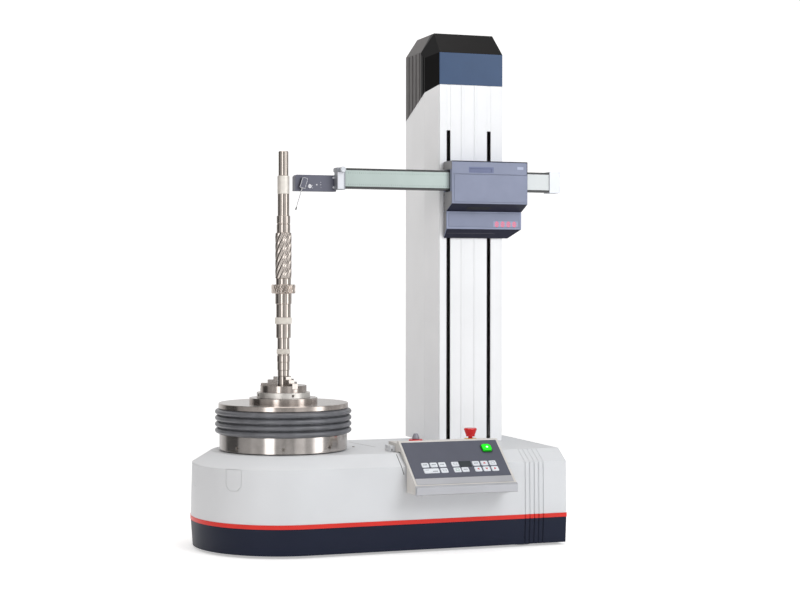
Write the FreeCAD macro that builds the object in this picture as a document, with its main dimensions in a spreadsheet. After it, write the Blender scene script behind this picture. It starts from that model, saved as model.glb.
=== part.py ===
import FreeCAD, Part
import math
import os
from types import SimpleNamespace
import Sketcher

# Cylindricity tester: a rotary table and a measuring column on one base.
# Millimetres. Origin: table axis at the bench plane, +X towards the column, -Y the operator, +Z up.

DRIVING_SIZES = dict(
    # base and plinth
    base_radius=203, base_end=590, skirt_bottom=6, trim_bottom=62.5, trim_top=71.5, wall_top=185.5,
    housing_top=210.5, chamfer_inset=44, wall_draft=3, skirt_taper=4, housing_wall=5, trim_depth=14,
    trim_proud=0.8, skirt_wall=4, seat_gap=0.3, bed_bottom=20, foot_radius=24, foot_pad=8,
    foot_stud_radius=8, foot_stud_depth=15, foot_reach=500, foot_spread=150,
    groove_first=491.5, groove_pitch=10.7, groove_width=3, groove_depth=1.6,
    cover_angle=223.5, cover_turn=40, cover_width=38, cover_height=45, cover_middle=163,
    # spindle
    spindle_radius=30, spindle_bottom=66, flange_radius=62, flange_bottom=199, flange_top=213,
    bearing_radius=72, bearing_top=198.5, running_gap=0.06, motor_bottom=72, motor_top=108,
    rotor_radius=38, stator_gap=0.5, stator_radius=54, opening_gap=6,
    # table stack
    table_turn=-60, ring_radius=140.5, ring_inner=120, ring_top=247, ring_floor=219, screw_level=223.2,
    screw_radius=4, screw_inner=121, screw_outer=138, stage_radius=106, stage_thick=9, slide_gap=0.4,
    rib_width=30, rib_height=2.5, ear_inner=88, ear_thick=10, ear_width=26,
    tilt_level=275, tilt_pin_radius=6, gimbal_outer=84, gimbal_inner=66, gimbal_height=16,
    gimbal_pin_reach=99, ear_below=11, plate_radius=142.5, plate_bottom=302.5, plate_top=314,
    plate_bore=12, bellows_outer=150, bellows_root=142, bellows_inner=124, bellows_gap=0.5,
    # chuck
    chuck_flange_radius=75, chuck_flange_top=325, hub_radius=30, scroll_radius=58.5, scroll_top=337,
    body_radius=51, body_top=352, jaw_width=14, jaw_slot_depth=7, jaw_grip=12.3, jaw_first=22.2,
    jaw_second=34.8, jaw_outer=49.5, jaw_high=371, jaw_mid=364.5, jaw_low=357, chuck_bore=16,
    scroll_hole_radius=3, scroll_hole_depth=12, axial_gap=0.4,
    # column
    column_front=28, column_left=376.8, column_width=155, column_flare=18.8, flank_end=77, column_overhang=5,
    cover_sheet=3, cap_top=1155, cap_front_drop=123, cap_flank_drop=138, cap_rear_drop=193, band_drop=50,
    cap_side_drop=42, cap_front_run=50, cap_side_run=24, cap_rear_run=12, corner_back=71, cap_ceiling=12,
    cap_rib_width=14, cap_rib_pitch=24.4, cap_rib_height=1.5, cap_rib_first=9,
    slot_pitch=99.5, slot_width=9.6, slot_bottom=217, slot_drop=228, slot_offset=5.8,
    frame_half=62, frame_front=62, frame_inset=23, frame_wall=12, frame_opening=24, frame_drop=85,
    rail_width=14, rail_depth=14, rail_bottom=216, rail_drop=135, sheet_gap=0.5,
    band_sheet=2, ridge_first=432, ridge_second=464, ridge_width=5, ridge_height=1.2,
    # lift drive
    pulley_radius=24, pulley_width=16, pulley_depth=101, idler_drop=125, drive_level=130,
    axle_radius=5, belt_thick=1.6, belt_width=14, belt_gap=0.3, z_motor_radius=22, z_motor_gap=4,
    weight_half=40, weight_gap=4.8, weight_bottom=400, weight_height=150,
    # carriage
    saddle_left=390, saddle_right=507, saddle_rear=26, saddle_bottom=690,
    saddle_top=848, web_width=7, runner_width=28, runner_front=33, runner_rear=58, runner_gap=0.35,
    bridge_height=70, tongue_half=18, carriage_left=385.8, carriage_width=185.4, carriage_front=-28,
    carriage_low=757, carriage_split=824, carriage_high=854, cover_back=25, undercut_depth=35,
    undercut_low=741, cover_wall=3, lower_front=7, lower_bottom=706.5, lower_slope=26.5, lower_corner=27, shoe_height=14,
    shoe_front=-20, pocket_left=428, pocket_width=56, pocket_height=10, pocket_depth=4,
    display_left=500, display_width=60, display_height=15, display_thick=0.8,
    # arm and probe
    arm_left=138, arm_right=632, arm_half=14, arm_low=787, arm_high=832, arm_gap=0.4, face_recess=1.2,
    face_margin=4, end_cap_length=26, end_cap_edge=2, block_width=29, block_front=-16, block_low=784,
    block_high=824, block_step_high=833, knob_inset=8, knob_radius=6, knob_length=10,
    knob_stem_radius=2.5, head_left=29.2, head_length=94.4, head_low=780.5, head_height=36,
    head_front=8, head_depth=24, head_corner=3.5, holder_x=46.2, holder_z=798, holder_width=12.6,
    holder_length=24, holder_thick=5, lean=17, pivot_radius=4, stylus_radius=1, stylus_length=61,
    tip_radius=1.5, holder_gap=0.3, boss_radius=5.5, shank_radius=1.5, shank_length=8, shank_seat=2, socket_gap=0.4,
    stylus_pin_radius=0.5, stylus_pivot=10,
    # operating panel
    panel_left=216, panel_width=230, shelf_inset=53, shelf_depth=65, shelf_middle=50, shelf_rise=19,
    crest_rise=5, crest_depth=6, panel_run=111.2, panel_fall=83.4, panel_lip_height=6, panel_lip_thick=7,
    panel_lip_groove=0.8, panel_body_low=131, panel_clear=3, foil_end=117.8, pod_drop=6, plate_margin=5, plate_thick=2, key_thick=0.8, key_width=15,
    key_length=13.6, window_width=27, window_length=18, button_width=21, button_length=20,
    button_high=5, button_gap=0.4, button_well=6, button_inset=36, button_y=-32.4, stop_inset=43,
    stop_collar_radius=13.5, stop_collar_high=2.3, stop_radius=14.5, stop_neck=10, stop_high=25,
    stop_stem=5, dial_inset=58, dial_disc_radius=16, dial_disc_high=4, dial_radius=8, dial_tip=5,
    dial_high=16.5, dial_stem=3, key_inset=39, key_pitch=19.4, key_upper=-78.3, key_lower=-96.1,
    button_travel=2, stop_travel=4, pod_hole_radius=2.5, pod_reach=11, bracket_inset=17, bracket_thick=4,
)

doc = FreeCAD.newDocument("cylindricity_tester")
sheet = doc.addObject("Spreadsheet::Sheet", "Sizes")


class Size:
    """A number together with the sheet expression that gives it."""

    def __init__(self, text, number):
        self.text = text
        self.number = number

    def __add__(self, other):
        other = size(other)
        return Size(f"({self.text} + {other.text})", self.number + other.number)

    def __sub__(self, other):
        other = size(other)
        return Size(f"({self.text} - {other.text})", self.number - other.number)

    def __mul__(self, other):
        other = size(other)
        return Size(f"({self.text} * {other.text})", self.number * other.number)

    def __truediv__(self, other):
        other = size(other)
        return Size(f"({self.text} / {other.text})", self.number / other.number)

    def __neg__(self):
        return Size(f"(0 - {self.text})", -self.number)

    __radd__ = __add__
    __rmul__ = __mul__

    def __rsub__(self, other):
        return size(other) - self


def size(value):
    """Turn a plain number into a Size; a Size stays as it is."""
    if isinstance(value, Size):
        return value
    return Size(f"({value})", value)


for row, (alias, number) in enumerate(DRIVING_SIZES.items(), start=1):
    sheet.set(f"A{row}", alias)
    sheet.set(f"B{row}", str(number))
    sheet.setAlias(f"B{row}", alias)
doc.recompute()
d = SimpleNamespace(**{alias: Size(f"Sizes.{alias}", number) for alias, number in DRIVING_SIZES.items()})
pieces = []

# Places that follow another size: heights from the cap's top, depths from the base, panel parts from its ends.
d.cap_front_low = d.cap_top - d.cap_front_drop
d.cap_flank_low = d.cap_top - d.cap_flank_drop
d.cap_rear_low = d.cap_top - d.cap_rear_drop
d.band_top = d.cap_top - d.band_drop
d.cap_side_top = d.cap_top - d.cap_side_drop
d.slot_top = d.cap_top - d.slot_drop
d.frame_top = d.cap_top - d.frame_drop
d.rail_top = d.cap_top - d.rail_drop
d.idler_level = d.cap_top - d.idler_drop
d.column_rear_left = d.column_left - d.column_flare
d.column_rear = d.base_radius + d.column_overhang
d.frame_rear = d.base_radius - d.frame_inset
d.slot_center = d.column_left + d.column_width / 2 - d.slot_offset
d.panel_shelf_y = d.shelf_inset - d.base_radius
d.panel_shelf_z = d.housing_top + d.shelf_rise
d.panel_crest_z = d.panel_shelf_z + d.crest_rise
d.panel_rear = d.panel_shelf_y + d.shelf_depth
d.panel_right = d.panel_left + d.panel_width
d.button_x = d.panel_right - d.button_inset
d.stop_x = d.panel_right - d.stop_inset
d.stop_y = d.panel_shelf_y + d.shelf_middle
d.stop_collar_top = d.panel_shelf_z + d.stop_collar_high
d.stop_top = d.panel_shelf_z + d.stop_high
d.dial_x = d.panel_left + d.dial_inset
d.dial_top = d.panel_shelf_z + d.dial_high
d.key_first = d.panel_left + d.key_inset


def bind(item, **values):
    """Tie properties of a document object to the sheet."""
    for prop, value in values.items():
        item.setExpression(prop, size(value).text)


def place(item, x=0, y=0, z=0, turn=None, about=(0, 0, 1)):
    """Tie an object's placement to the sheet."""
    if turn is not None:
        item.Placement = FreeCAD.Placement(FreeCAD.Vector(), FreeCAD.Rotation(FreeCAD.Vector(*about), 1))
        item.setExpression("Placement.Rotation.Angle", size(turn).text)
    for axis, value in (("x", x), ("y", y), ("z", z)):
        item.setExpression(f"Placement.Base.{axis}", size(value).text)
    return item


def block(name, x, y, z, length, width, height):
    """A rectangular block from its low corner."""
    item = doc.addObject("Part::Box", name)
    bind(item, Length=length, Width=width, Height=height)
    return place(item, x, y, z)


def rod(name, radius, height, x=0, y=0, z=0, along="z"):
    """A round bar from the centre of its low end."""
    item = doc.addObject("Part::Cylinder", name)
    bind(item, Radius=radius, Height=height)
    about = {"x": (0, 1, 0), "y": (-1, 0, 0), "z": None}[along]
    if about is None:
        return place(item, x, y, z)
    return place(item, x, y, z, turn=90, about=about)


def ball(name, radius, x, y, z):
    item = doc.addObject("Part::Sphere", name)
    bind(item, Radius=radius)
    return place(item, x, y, z)


def fuse(label, shapes):
    item = doc.addObject("Part::MultiFuse", label)
    item.Shapes = shapes
    item.Refine = True
    return item


def cut(label, base, tools):
    """Take away the tools, one after the other."""
    for number, tool in enumerate(tools, start=1):
        item = doc.addObject("Part::Cut", label if number == len(tools) else f"{label}_step{number}")
        item.Base = base
        item.Tool = tool
        base = item
    return base


def group(label, shapes):
    """Separate like pieces kept in one node."""
    item = doc.addObject("Part::Compound", label)
    item.Links = shapes
    return item


def keep(item, label):
    """Hand an object in as a sub-part under its own name."""
    item.Label = label
    pieces.append(item)
    return item


def new_body(label):
    body = doc.addObject("PartDesign::Body", label)
    return body


def new_sketch(body, name, role, offset=0):
    """A sketch on one of the body's own origin planes, moved along its normal."""
    sketch = body.newObject("Sketcher::SketchObject", name)
    plane = [feature for feature in body.Origin.OriginFeatures if feature.Role == role][0]
    sketch.AttachmentSupport = [(plane, "")]
    sketch.MapMode = "FlatFace"
    sketch.setExpression("AttachmentOffset.Base.z", size(offset).text)
    return sketch


def tie(sketch, geometry, end, x, y):
    """Tie a point of a sketch to the sheet in both directions."""
    for kind, axis, value in (("DistanceX", -2, x), ("DistanceY", -1, y)):
        value = size(value)
        if value.number == 0:
            sketch.addConstraint(Sketcher.Constraint("PointOnObject", geometry, end, axis))
            continue
        index = sketch.addConstraint(Sketcher.Constraint(kind, -1, 1, geometry, end, value.number))
        sketch.setExpression(f"Constraints[{index}]", value.text)


def draw_outline(sketch, points):
    """A closed straight-sided outline whose corners are all tied."""
    points = [(size(x), size(y)) for x, y in points]
    first = sketch.GeometryCount
    count = len(points)
    for number, (x, y) in enumerate(points):
        after = points[(number + 1) % count]
        start = FreeCAD.Vector(x.number, y.number, 0)
        sketch.addGeometry(Part.LineSegment(start, FreeCAD.Vector(after[0].number, after[1].number, 0)))
    for number in range(count):
        follower = first + (number + 1) % count
        sketch.addConstraint(Sketcher.Constraint("Coincident", first + number, 2, follower, 1))
    for number, (x, y) in enumerate(points):
        tie(sketch, first + number, 1, x, y)


def draw_circle(sketch, x, y, radius):
    x, y, radius = size(x), size(y), size(radius)
    circle = Part.Circle(FreeCAD.Vector(x.number, y.number, 0), FreeCAD.Vector(0, 0, 1), radius.number)
    index = sketch.addGeometry(circle)
    tie(sketch, index, 3, x, y)
    constraint = sketch.addConstraint(Sketcher.Constraint("Radius", index, radius.number))
    sketch.setExpression(f"Constraints[{constraint}]", radius.text)


def pad(body, sketch, length, reverse=False, name="Pad"):
    feature = body.newObject("PartDesign::Pad", name)
    feature.Profile = sketch
    feature.Reversed = reverse
    bind(feature, Length=length)
    return feature


def pocket(body, sketch, length, reverse=False, name="Pocket"):
    feature = body.newObject("PartDesign::Pocket", name)
    feature.Profile = sketch
    feature.Reversed = reverse
    bind(feature, Length=length)
    return feature


def turned(label, points, x=0, y=0, z=0):
    """A lathe piece: its half outline (radius, height) turned about the upright axis."""
    body = new_body(label)
    sketch = new_sketch(body, f"{label}_outline", "XZ_Plane")
    draw_outline(sketch, points)
    feature = body.newObject("PartDesign::Revolution", f"{label}_turn")
    feature.Profile = sketch
    feature.ReferenceAxis = (sketch, ["V_Axis"])
    feature.Angle = 360
    return place(body, x, y, z)


def extruded(label, role, points, offset, length, reverse=False):
    """A straight section: its outline on an origin plane, then its length."""
    body = new_body(label)
    sketch = new_sketch(body, f"{label}_section", role, offset)
    draw_outline(sketch, points)
    pad(body, sketch, length, reverse, f"{label}_pad")
    return body


def base_solid(name, levels, end):
    """A solid with the base outline from (radius, height) levels: round at the left, square at the right."""
    low, high = levels[0][1], levels[-1][1]
    rounded = turned(f"{name}_round", [(0, low), *levels, (0, high)])
    section = [(-radius, height) for radius, height in levels]
    section += [(radius, height) for radius, height in reversed(levels)]
    straight = extruded(f"{name}_straight", "YZ_Plane", section, 0, end)
    return fuse(name, [rounded, straight])


def base_ring(name, outer, inner, end, wall):
    """A shell with the base outline, open above and below where the inner levels reach its ends."""
    hollow = base_solid(f"{name}_hollow", inner, end - wall)
    return cut(name, base_solid(f"{name}_solid", outer, end), [hollow])


def base_levels(inset=0):
    """The housing's (radius, height) levels from the trim to its top, moved inwards by a wall."""
    return [
        (d.base_radius - inset, d.trim_top),
        (d.base_radius - d.wall_draft - inset, d.wall_top),
        (d.base_radius - d.chamfer_inset - inset, d.housing_top - inset),
    ]


def housing_shell(name):
    return base_ring(name, base_levels(), base_levels(d.housing_wall), d.base_end, d.housing_wall)


def cover_window(name, turn, gap):
    """The opening of a transport cover in the rounded end, or its cover with a gap all round."""
    half = d.cover_width / 2 - gap
    low = d.cover_middle - d.cover_height / 2 + gap
    high = d.cover_middle + d.cover_height / 2 - gap
    corner = d.cover_width / 4
    section = [(-half + corner, low), (half - corner, low), (half, low + corner), (half, high)]
    section += [(-half, high), (-half, low + corner)]
    inner = d.base_radius - d.housing_wall * 4
    return place(extruded(name, "YZ_Plane", section, inner, d.housing_wall * 6), turn=turn)


def side_groove(name, number, points):
    """One upright groove cutter at the right end of the front."""
    first = d.groove_first + number * d.groove_pitch - d.groove_width / 2
    return extruded(f"{name}_groove{number}", "YZ_Plane", points, first, d.groove_width)


def groove_tools(name, inner_points):
    """Five groove cutters whose inner edge follows the given (y, z) points."""
    front = -(d.base_radius + d.trim_proud + 5)
    points = [(front, inner_points[0][1]), *inner_points, (front, inner_points[-1][1])]
    return [side_groove(name, number, points) for number in range(5)]


def make_base():
    wall_shell = housing_shell("housing_shell")
    top = d.housing_top - d.housing_wall * 2
    spindle_opening = rod("spindle_opening", d.flange_radius + d.opening_gap, d.housing_wall * 3, z=top)
    frame_opening = block(
        "frame_opening", d.slot_center - d.frame_half - d.sheet_gap, d.frame_front - d.sheet_gap, d.wall_top,
        d.frame_half * 2 + d.sheet_gap * 2, d.frame_rear - d.frame_front + d.sheet_gap * 2,
        d.housing_top - d.wall_top + d.housing_wall)
    face = -(d.base_radius - d.groove_depth)
    chamfer_face = face + d.chamfer_inset
    wall_groove = [(face, d.trim_top - 1), (face + d.wall_draft, d.wall_top), (chamfer_face, d.housing_top)]
    wall_groove.append((chamfer_face, d.housing_top + 1))
    turns = [d.cover_angle, d.cover_angle - d.cover_turn]
    windows = [cover_window(f"cover_window{n}", turn, 0) for n, turn in enumerate(turns)]
    openings = [spindle_opening, frame_opening, *windows, *groove_tools("housing", wall_groove)]
    keep(cut("housing", wall_shell, openings), "base_housing")

    covers = []
    for number, turn in enumerate(turns):
        plug = doc.addObject("Part::Common", f"port_cover{number}")
        plug.Base = housing_shell(f"cover_shell{number}")
        plug.Tool = cover_window(f"cover_form{number}", turn, d.seat_gap)
        covers.append(plug)
    keep(group("covers", covers), "transport_covers")

    radius = d.base_radius + d.trim_proud
    inner = d.base_radius - d.trim_depth
    trim = base_ring("trim_ring", [(radius, d.trim_bottom), (radius, d.trim_top)],
                     [(inner, d.trim_bottom), (inner, d.trim_top)], d.base_end + d.trim_proud, d.trim_depth)
    depth = [(face, d.trim_bottom - 1), (face, d.trim_top + 1)]
    keep(cut("trim", trim, groove_tools("trim", depth)), "trim_strip")

    low = d.base_radius - d.skirt_taper
    outer = [(low, d.skirt_bottom), (d.base_radius, d.trim_bottom)]
    inner = [(low - d.skirt_wall, d.skirt_bottom), (d.base_radius - d.skirt_wall, d.trim_bottom)]
    skirt = base_ring("skirt_ring", outer, inner, d.base_end, d.skirt_wall)
    depth = [(face + d.skirt_taper, d.skirt_bottom - 1), (face, d.trim_bottom + 1)]
    keep(cut("skirt", skirt, groove_tools("skirt", depth)), "plinth_skirt")

    inset = d.skirt_wall + d.skirt_taper + d.seat_gap
    bed_radius = d.base_radius - inset
    bed = base_solid("bed", [(bed_radius, d.bed_bottom), (bed_radius, d.trim_bottom)], d.base_end - inset)
    foot_places = [(0, 0), (d.foot_reach, d.foot_spread), (d.foot_reach, -d.foot_spread)]
    sockets = []
    feet = []
    for number, (x, y) in enumerate(foot_places):
        stud_top = d.bed_bottom + d.foot_stud_depth
        sockets.append(rod(f"foot_socket{number}", d.foot_stud_radius + d.seat_gap, stud_top + 1, x, y))
        outline = [(0, 0), (d.foot_radius, 0), (d.foot_radius, d.foot_pad), (d.foot_stud_radius * 2, d.foot_pad + 3)]
        outline += [(d.foot_stud_radius * 2, d.bed_bottom), (d.foot_stud_radius, d.bed_bottom)]
        outline += [(d.foot_stud_radius, stud_top), (0, stud_top)]
        feet.append(turned(f"foot{number}", outline, x, y))
    keep(cut("bed_drilled", bed, sockets), "base_bed")
    keep(group("feet", feet), "levelling_feet")


def make_spindle():
    bore = d.spindle_radius + d.running_gap
    motor_low = d.motor_bottom - 2
    motor_high = d.motor_top + 2
    pocket_radius = d.stator_radius + d.seat_gap
    housing = [
        (pocket_radius, d.trim_bottom), (d.bearing_radius, d.trim_bottom), (d.bearing_radius, d.bearing_top),
        (bore, d.bearing_top), (bore, motor_high), (pocket_radius, motor_high),
    ]
    keep(turned("bearing_block", housing), "spindle_housing")
    stator_inner = d.rotor_radius + d.stator_gap
    stator = [(stator_inner, motor_low), (d.stator_radius, motor_low), (d.stator_radius, d.motor_top)]
    keep(turned("stator", stator + [(stator_inner, d.motor_top)]), "motor_stator")
    rotor = [
        (0, d.spindle_bottom), (d.spindle_radius, d.spindle_bottom), (d.spindle_radius, d.motor_bottom),
        (d.rotor_radius, d.motor_bottom), (d.rotor_radius, d.motor_top), (d.spindle_radius, d.motor_top),
        (d.spindle_radius, d.flange_bottom), (d.flange_radius, d.flange_bottom), (d.flange_radius, d.flange_top),
        (0, d.flange_top),
    ]
    keep(turned("spindle", rotor), "table_spindle")


def ear_pair(name, low, high, along):
    """Two upright ears on opposite sides of the table axis, each drilled for a pivot pin."""
    ears = []
    holes = []
    for side, start in (("near", d.ear_inner), ("far", -(d.ear_inner + d.ear_thick))):
        corner = (start, -d.ear_width / 2, d.ear_thick, d.ear_width)
        x, y, length, width = corner if along == "x" else (corner[1], corner[0], corner[3], corner[2])
        ears.append(block(f"{name}_{side}", x, y, low, length, width, high - low))
        at = (start - 1, 0) if along == "x" else (0, start - 1)
        radius = d.tilt_pin_radius + d.running_gap
        holes.append(rod(f"{name}_{side}_bore", radius, d.ear_thick + 2, *at, d.tilt_level, along))
    return ears, holes


def make_table():
    """The stack between spindle and chuck: two cross slides, a gimbal and the top plate."""
    ring = [
        (0, d.flange_top), (d.ring_radius, d.flange_top), (d.ring_radius, d.ring_top),
        (d.ring_inner, d.ring_top), (d.ring_inner, d.ring_floor), (0, d.ring_floor),
    ]
    ring_body = turned("ring_cup", ring)
    holes = []
    screws = []
    for number, angle in enumerate((0, -90, -45, 45)):
        reach = d.ring_radius - d.screw_inner + 2
        radius = d.screw_radius + d.running_gap
        hole = rod(f"screw_hole{number}", radius, reach, d.screw_inner - 2, 0, d.screw_level, "x")
        holes.append(place(group(f"screw_hole_turned{number}", [hole]), turn=angle))
        length = d.screw_outer - d.screw_inner
        screw = rod(f"screw_bar{number}", d.screw_radius, length, d.screw_inner, 0, d.screw_level, "x")
        socket = rod(f"screw_socket{number}", d.screw_radius / 2, 5, d.screw_outer - 4, 0, d.screw_level, "x")
        screws.append(cut(f"screw{number}", screw, [socket]))
    groove = block("ring_groove", -d.ring_inner + 5, -d.rib_width / 2 - d.slide_gap,
                   d.ring_floor - d.rib_height - d.slide_gap, (d.ring_inner - 5) * 2,
                   d.rib_width + d.slide_gap * 2, d.rib_height + 1)
    lower = cut("ring_grooved", ring_body, [*holes, groove])
    names = ("centring_screw_x", "centring_screw_y", "levelling_screw_x", "levelling_screw_y")
    for name, screw, angle in zip(names, screws, (0, -90, -45, 45)):
        keep(place(screw, turn=d.table_turn + angle), name)
    keep(place(lower, turn=d.table_turn), "adjusting_ring")

    low = d.ring_floor + d.slide_gap
    top = low + d.stage_thick
    rib_length = d.stage_radius * 2 - 30
    slide = rod("cross_disc", d.stage_radius, d.stage_thick, z=low)
    under = block("cross_rib", -rib_length / 2, -d.rib_width / 2, low - d.rib_height, rib_length, d.rib_width, d.rib_height + 1)
    over = block("cross_top_rib", -d.rib_width / 2, -rib_length / 2, top - 1, d.rib_width, rib_length, d.rib_height + 1)
    keep(place(fuse("cross", [slide, under, over]), turn=d.table_turn), "cross_slide")

    low = top + d.slide_gap
    top = low + d.stage_thick
    ears, bores = ear_pair("post", top - 1, d.tilt_level + d.ear_below, "x")
    disc = rod("centring_disc", d.stage_radius, d.stage_thick, z=low)
    groove = block("centring_groove", -d.rib_width / 2 - d.slide_gap, -d.stage_radius - 1, low - 1,
                   d.rib_width + d.slide_gap * 2, d.stage_radius * 2 + 2, d.rib_height + 1 + d.slide_gap)
    carrier = cut("centring", fuse("centring_raw", [disc, *ears]), [groove, *bores])
    keep(place(carrier, turn=d.table_turn), "centring_stage")

    half = d.gimbal_height / 2
    low = d.tilt_level - half
    outline = [(d.gimbal_inner, low), (d.gimbal_outer, low), (d.gimbal_outer, low + d.gimbal_height)]
    ring = turned("gimbal", outline + [(d.gimbal_inner, low + d.gimbal_height)])
    pins = []
    reach = d.gimbal_pin_reach - d.gimbal_inner - 6
    start = d.gimbal_inner + 6
    for number, (x, y, along) in enumerate(((start, 0, "x"), (-start - reach, 0, "x"), (0, start, "y"), (0, -start - reach, "y"))):
        pins.append(rod(f"gimbal_pin{number}", d.tilt_pin_radius, reach, x, y, d.tilt_level, along))
    keep(place(fuse("gimbal_ring", [ring, *pins]), turn=d.table_turn), "tilt_ring")

    ears, bores = ear_pair("lug", d.tilt_level - d.ear_below, d.plate_bottom + 1, "y")
    plate = turned("plate", [(d.plate_bore, d.plate_bottom), (d.plate_radius - 1, d.plate_bottom),
                             (d.plate_radius, d.plate_bottom + 1), (d.plate_radius, d.plate_top - 1),
                             (d.plate_radius - 1, d.plate_top), (d.plate_bore, d.plate_top)])
    keep(place(cut("plate_bored", fuse("plate_raw", [plate, *ears]), bores), turn=d.table_turn), "table_plate")

    low = d.ring_top + d.bellows_gap
    pitch = (d.plate_bottom - d.bellows_gap - low) / 4
    profile = [(d.bellows_inner, low)]
    for fold in range(4):
        profile.append((d.bellows_root, low + fold * pitch))
        profile.append((d.bellows_outer - 1.5, low + fold * pitch + pitch * 0.28))
        profile.append((d.bellows_outer, low + fold * pitch + pitch / 2))
        profile.append((d.bellows_outer - 1.5, low + fold * pitch + pitch * 0.72))
    profile += [(d.bellows_root, low + 4 * pitch), (d.bellows_inner, low + 4 * pitch)]
    keep(turned("bellows", profile), "table_bellows")


JAW_ANGLES = (166, 286, 46)


def make_chuck():
    top = d.chuck_flange_top
    hub_top = d.scroll_top + d.axial_gap
    flange = [
        (d.chuck_bore, d.plate_top), (d.chuck_flange_radius, d.plate_top), (d.chuck_flange_radius, top),
        (d.hub_radius, top), (d.hub_radius, hub_top), (d.chuck_bore, hub_top),
    ]
    keep(turned("flange", flange), "chuck_flange")
    bore = d.hub_radius + d.running_gap
    low = top + d.axial_gap
    scroll = turned("scroll", [(bore, low), (d.scroll_radius, low), (d.scroll_radius, d.scroll_top), (bore, d.scroll_top)])
    holes = []
    level = (low + d.scroll_top) / 2
    for number in range(4):
        reach = d.scroll_radius - d.scroll_hole_depth
        hole = rod(f"key_hole{number}", d.scroll_hole_radius, d.scroll_hole_depth + 2, reach, 0, level, "x")
        holes.append(place(group(f"key_hole_turned{number}", [hole]), turn=90 * number - 84))
    keep(cut("scroll_drilled", scroll, holes), "scroll_ring")

    slot_low = d.body_top - d.jaw_slot_depth
    head = turned("chuck_head", [(d.chuck_bore, hub_top), (d.body_radius, hub_top), (d.body_radius, d.body_top),
                                 (d.chuck_bore, d.body_top)])
    slots = []
    jaw_half = d.jaw_width / 2
    for number, angle in enumerate(JAW_ANGLES, start=1):
        slot = block(f"jaw_slot{number}", 0, -jaw_half - d.slide_gap, slot_low, d.body_radius + 5,
                     d.jaw_width + d.slide_gap * 2, d.jaw_slot_depth + 1)
        slots.append(place(group(f"jaw_slot_turned{number}", [slot]), turn=angle))
        low = slot_low + d.slide_gap
        steps = [(d.jaw_grip, low), (d.jaw_outer, low), (d.jaw_outer, d.jaw_low), (d.jaw_second, d.jaw_low),
                 (d.jaw_second, d.jaw_mid), (d.jaw_first, d.jaw_mid), (d.jaw_first, d.jaw_high),
                 (d.jaw_grip, d.jaw_high)]
        jaw = extruded(f"jaw{number}", "XZ_Plane", steps, -jaw_half, d.jaw_width)
        keep(place(jaw, turn=angle), f"chuck_jaw_{number}")
    keep(cut("chuck_slotted", head, slots), "chuck_body")


# Workpiece on the chuck: (radius, height up to) from its held end upwards.
SHAFT_STEPS = [
    (11.9, 372), (12.7, 385), (13.6, 403), (14.2, 417), (13.2, 420.5), (15, 431.5), (13.4, 455.8),
    (16.2, 486.6), (18.5, 501), (16.2, 530.6), (18, 553.7), (26.4, 573.5), (16.8, 586.7), (17.9, 687),
    (15.1, 705.5), (14.3, 708), (15.1, 724.3), (12.9, 772.7), (13.3, 812.4), (11, 866.4),
]
SHAFT_HELD_END = 341
SHAFT_END_CHAMFER = 1


def make_workpiece():
    outline = [(0, SHAFT_HELD_END)]
    level = SHAFT_HELD_END
    for radius, top in SHAFT_STEPS:
        outline += [(radius, level), (radius, top)]
        level = top
    last = SHAFT_STEPS[-1][0]
    outline += [(last - SHAFT_END_CHAMFER, level + SHAFT_END_CHAMFER), (0, level + SHAFT_END_CHAMFER)]
    keep(turned("workpiece", outline), "test_shaft")


RIB_COUNT = 5


def column_center():
    return d.column_left + d.column_width / 2


def column_outline(sheet_inset=0):
    """The column from above: narrow front, flared flanks, straight rear part."""
    middle = column_center()
    half = d.column_width / 2 - sheet_inset
    rear_half = middle - d.column_rear_left - sheet_inset
    near = d.column_front + sheet_inset
    far = d.column_rear - sheet_inset
    return [
        (middle - half, near), (middle + half, near), (middle + rear_half, d.flank_end),
        (middle + rear_half, far), (middle - rear_half, far), (middle - rear_half, d.flank_end),
    ]


def under_cap(name, drop=0):
    """Everything below the sloping joint between column cover and cap, lowered by a gap."""
    low = d.housing_top - 20
    points = [
        (d.column_front - 30, low), (d.column_rear + 30, low), (d.column_rear + 30, d.cap_rear_low - drop),
        (d.column_rear, d.cap_rear_low - drop), (d.flank_end, d.cap_flank_low - drop),
        (d.column_front, d.cap_front_low - drop), (d.column_front - 30, d.cap_front_low - drop),
    ]
    half = d.column_width
    return extruded(name, "YZ_Plane", points, column_center() - half, half * 2)


def column_prism(name, inset, low, high):
    body = new_body(name)
    sketch = new_sketch(body, f"{name}_plan", "XY_Plane", low)
    draw_outline(sketch, column_outline(inset))
    pad(body, sketch, high - low, name=f"{name}_pad")
    return body


def slot_positions():
    return [("left", d.slot_center - d.slot_pitch / 2), ("right", d.slot_center + d.slot_pitch / 2)]


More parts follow.
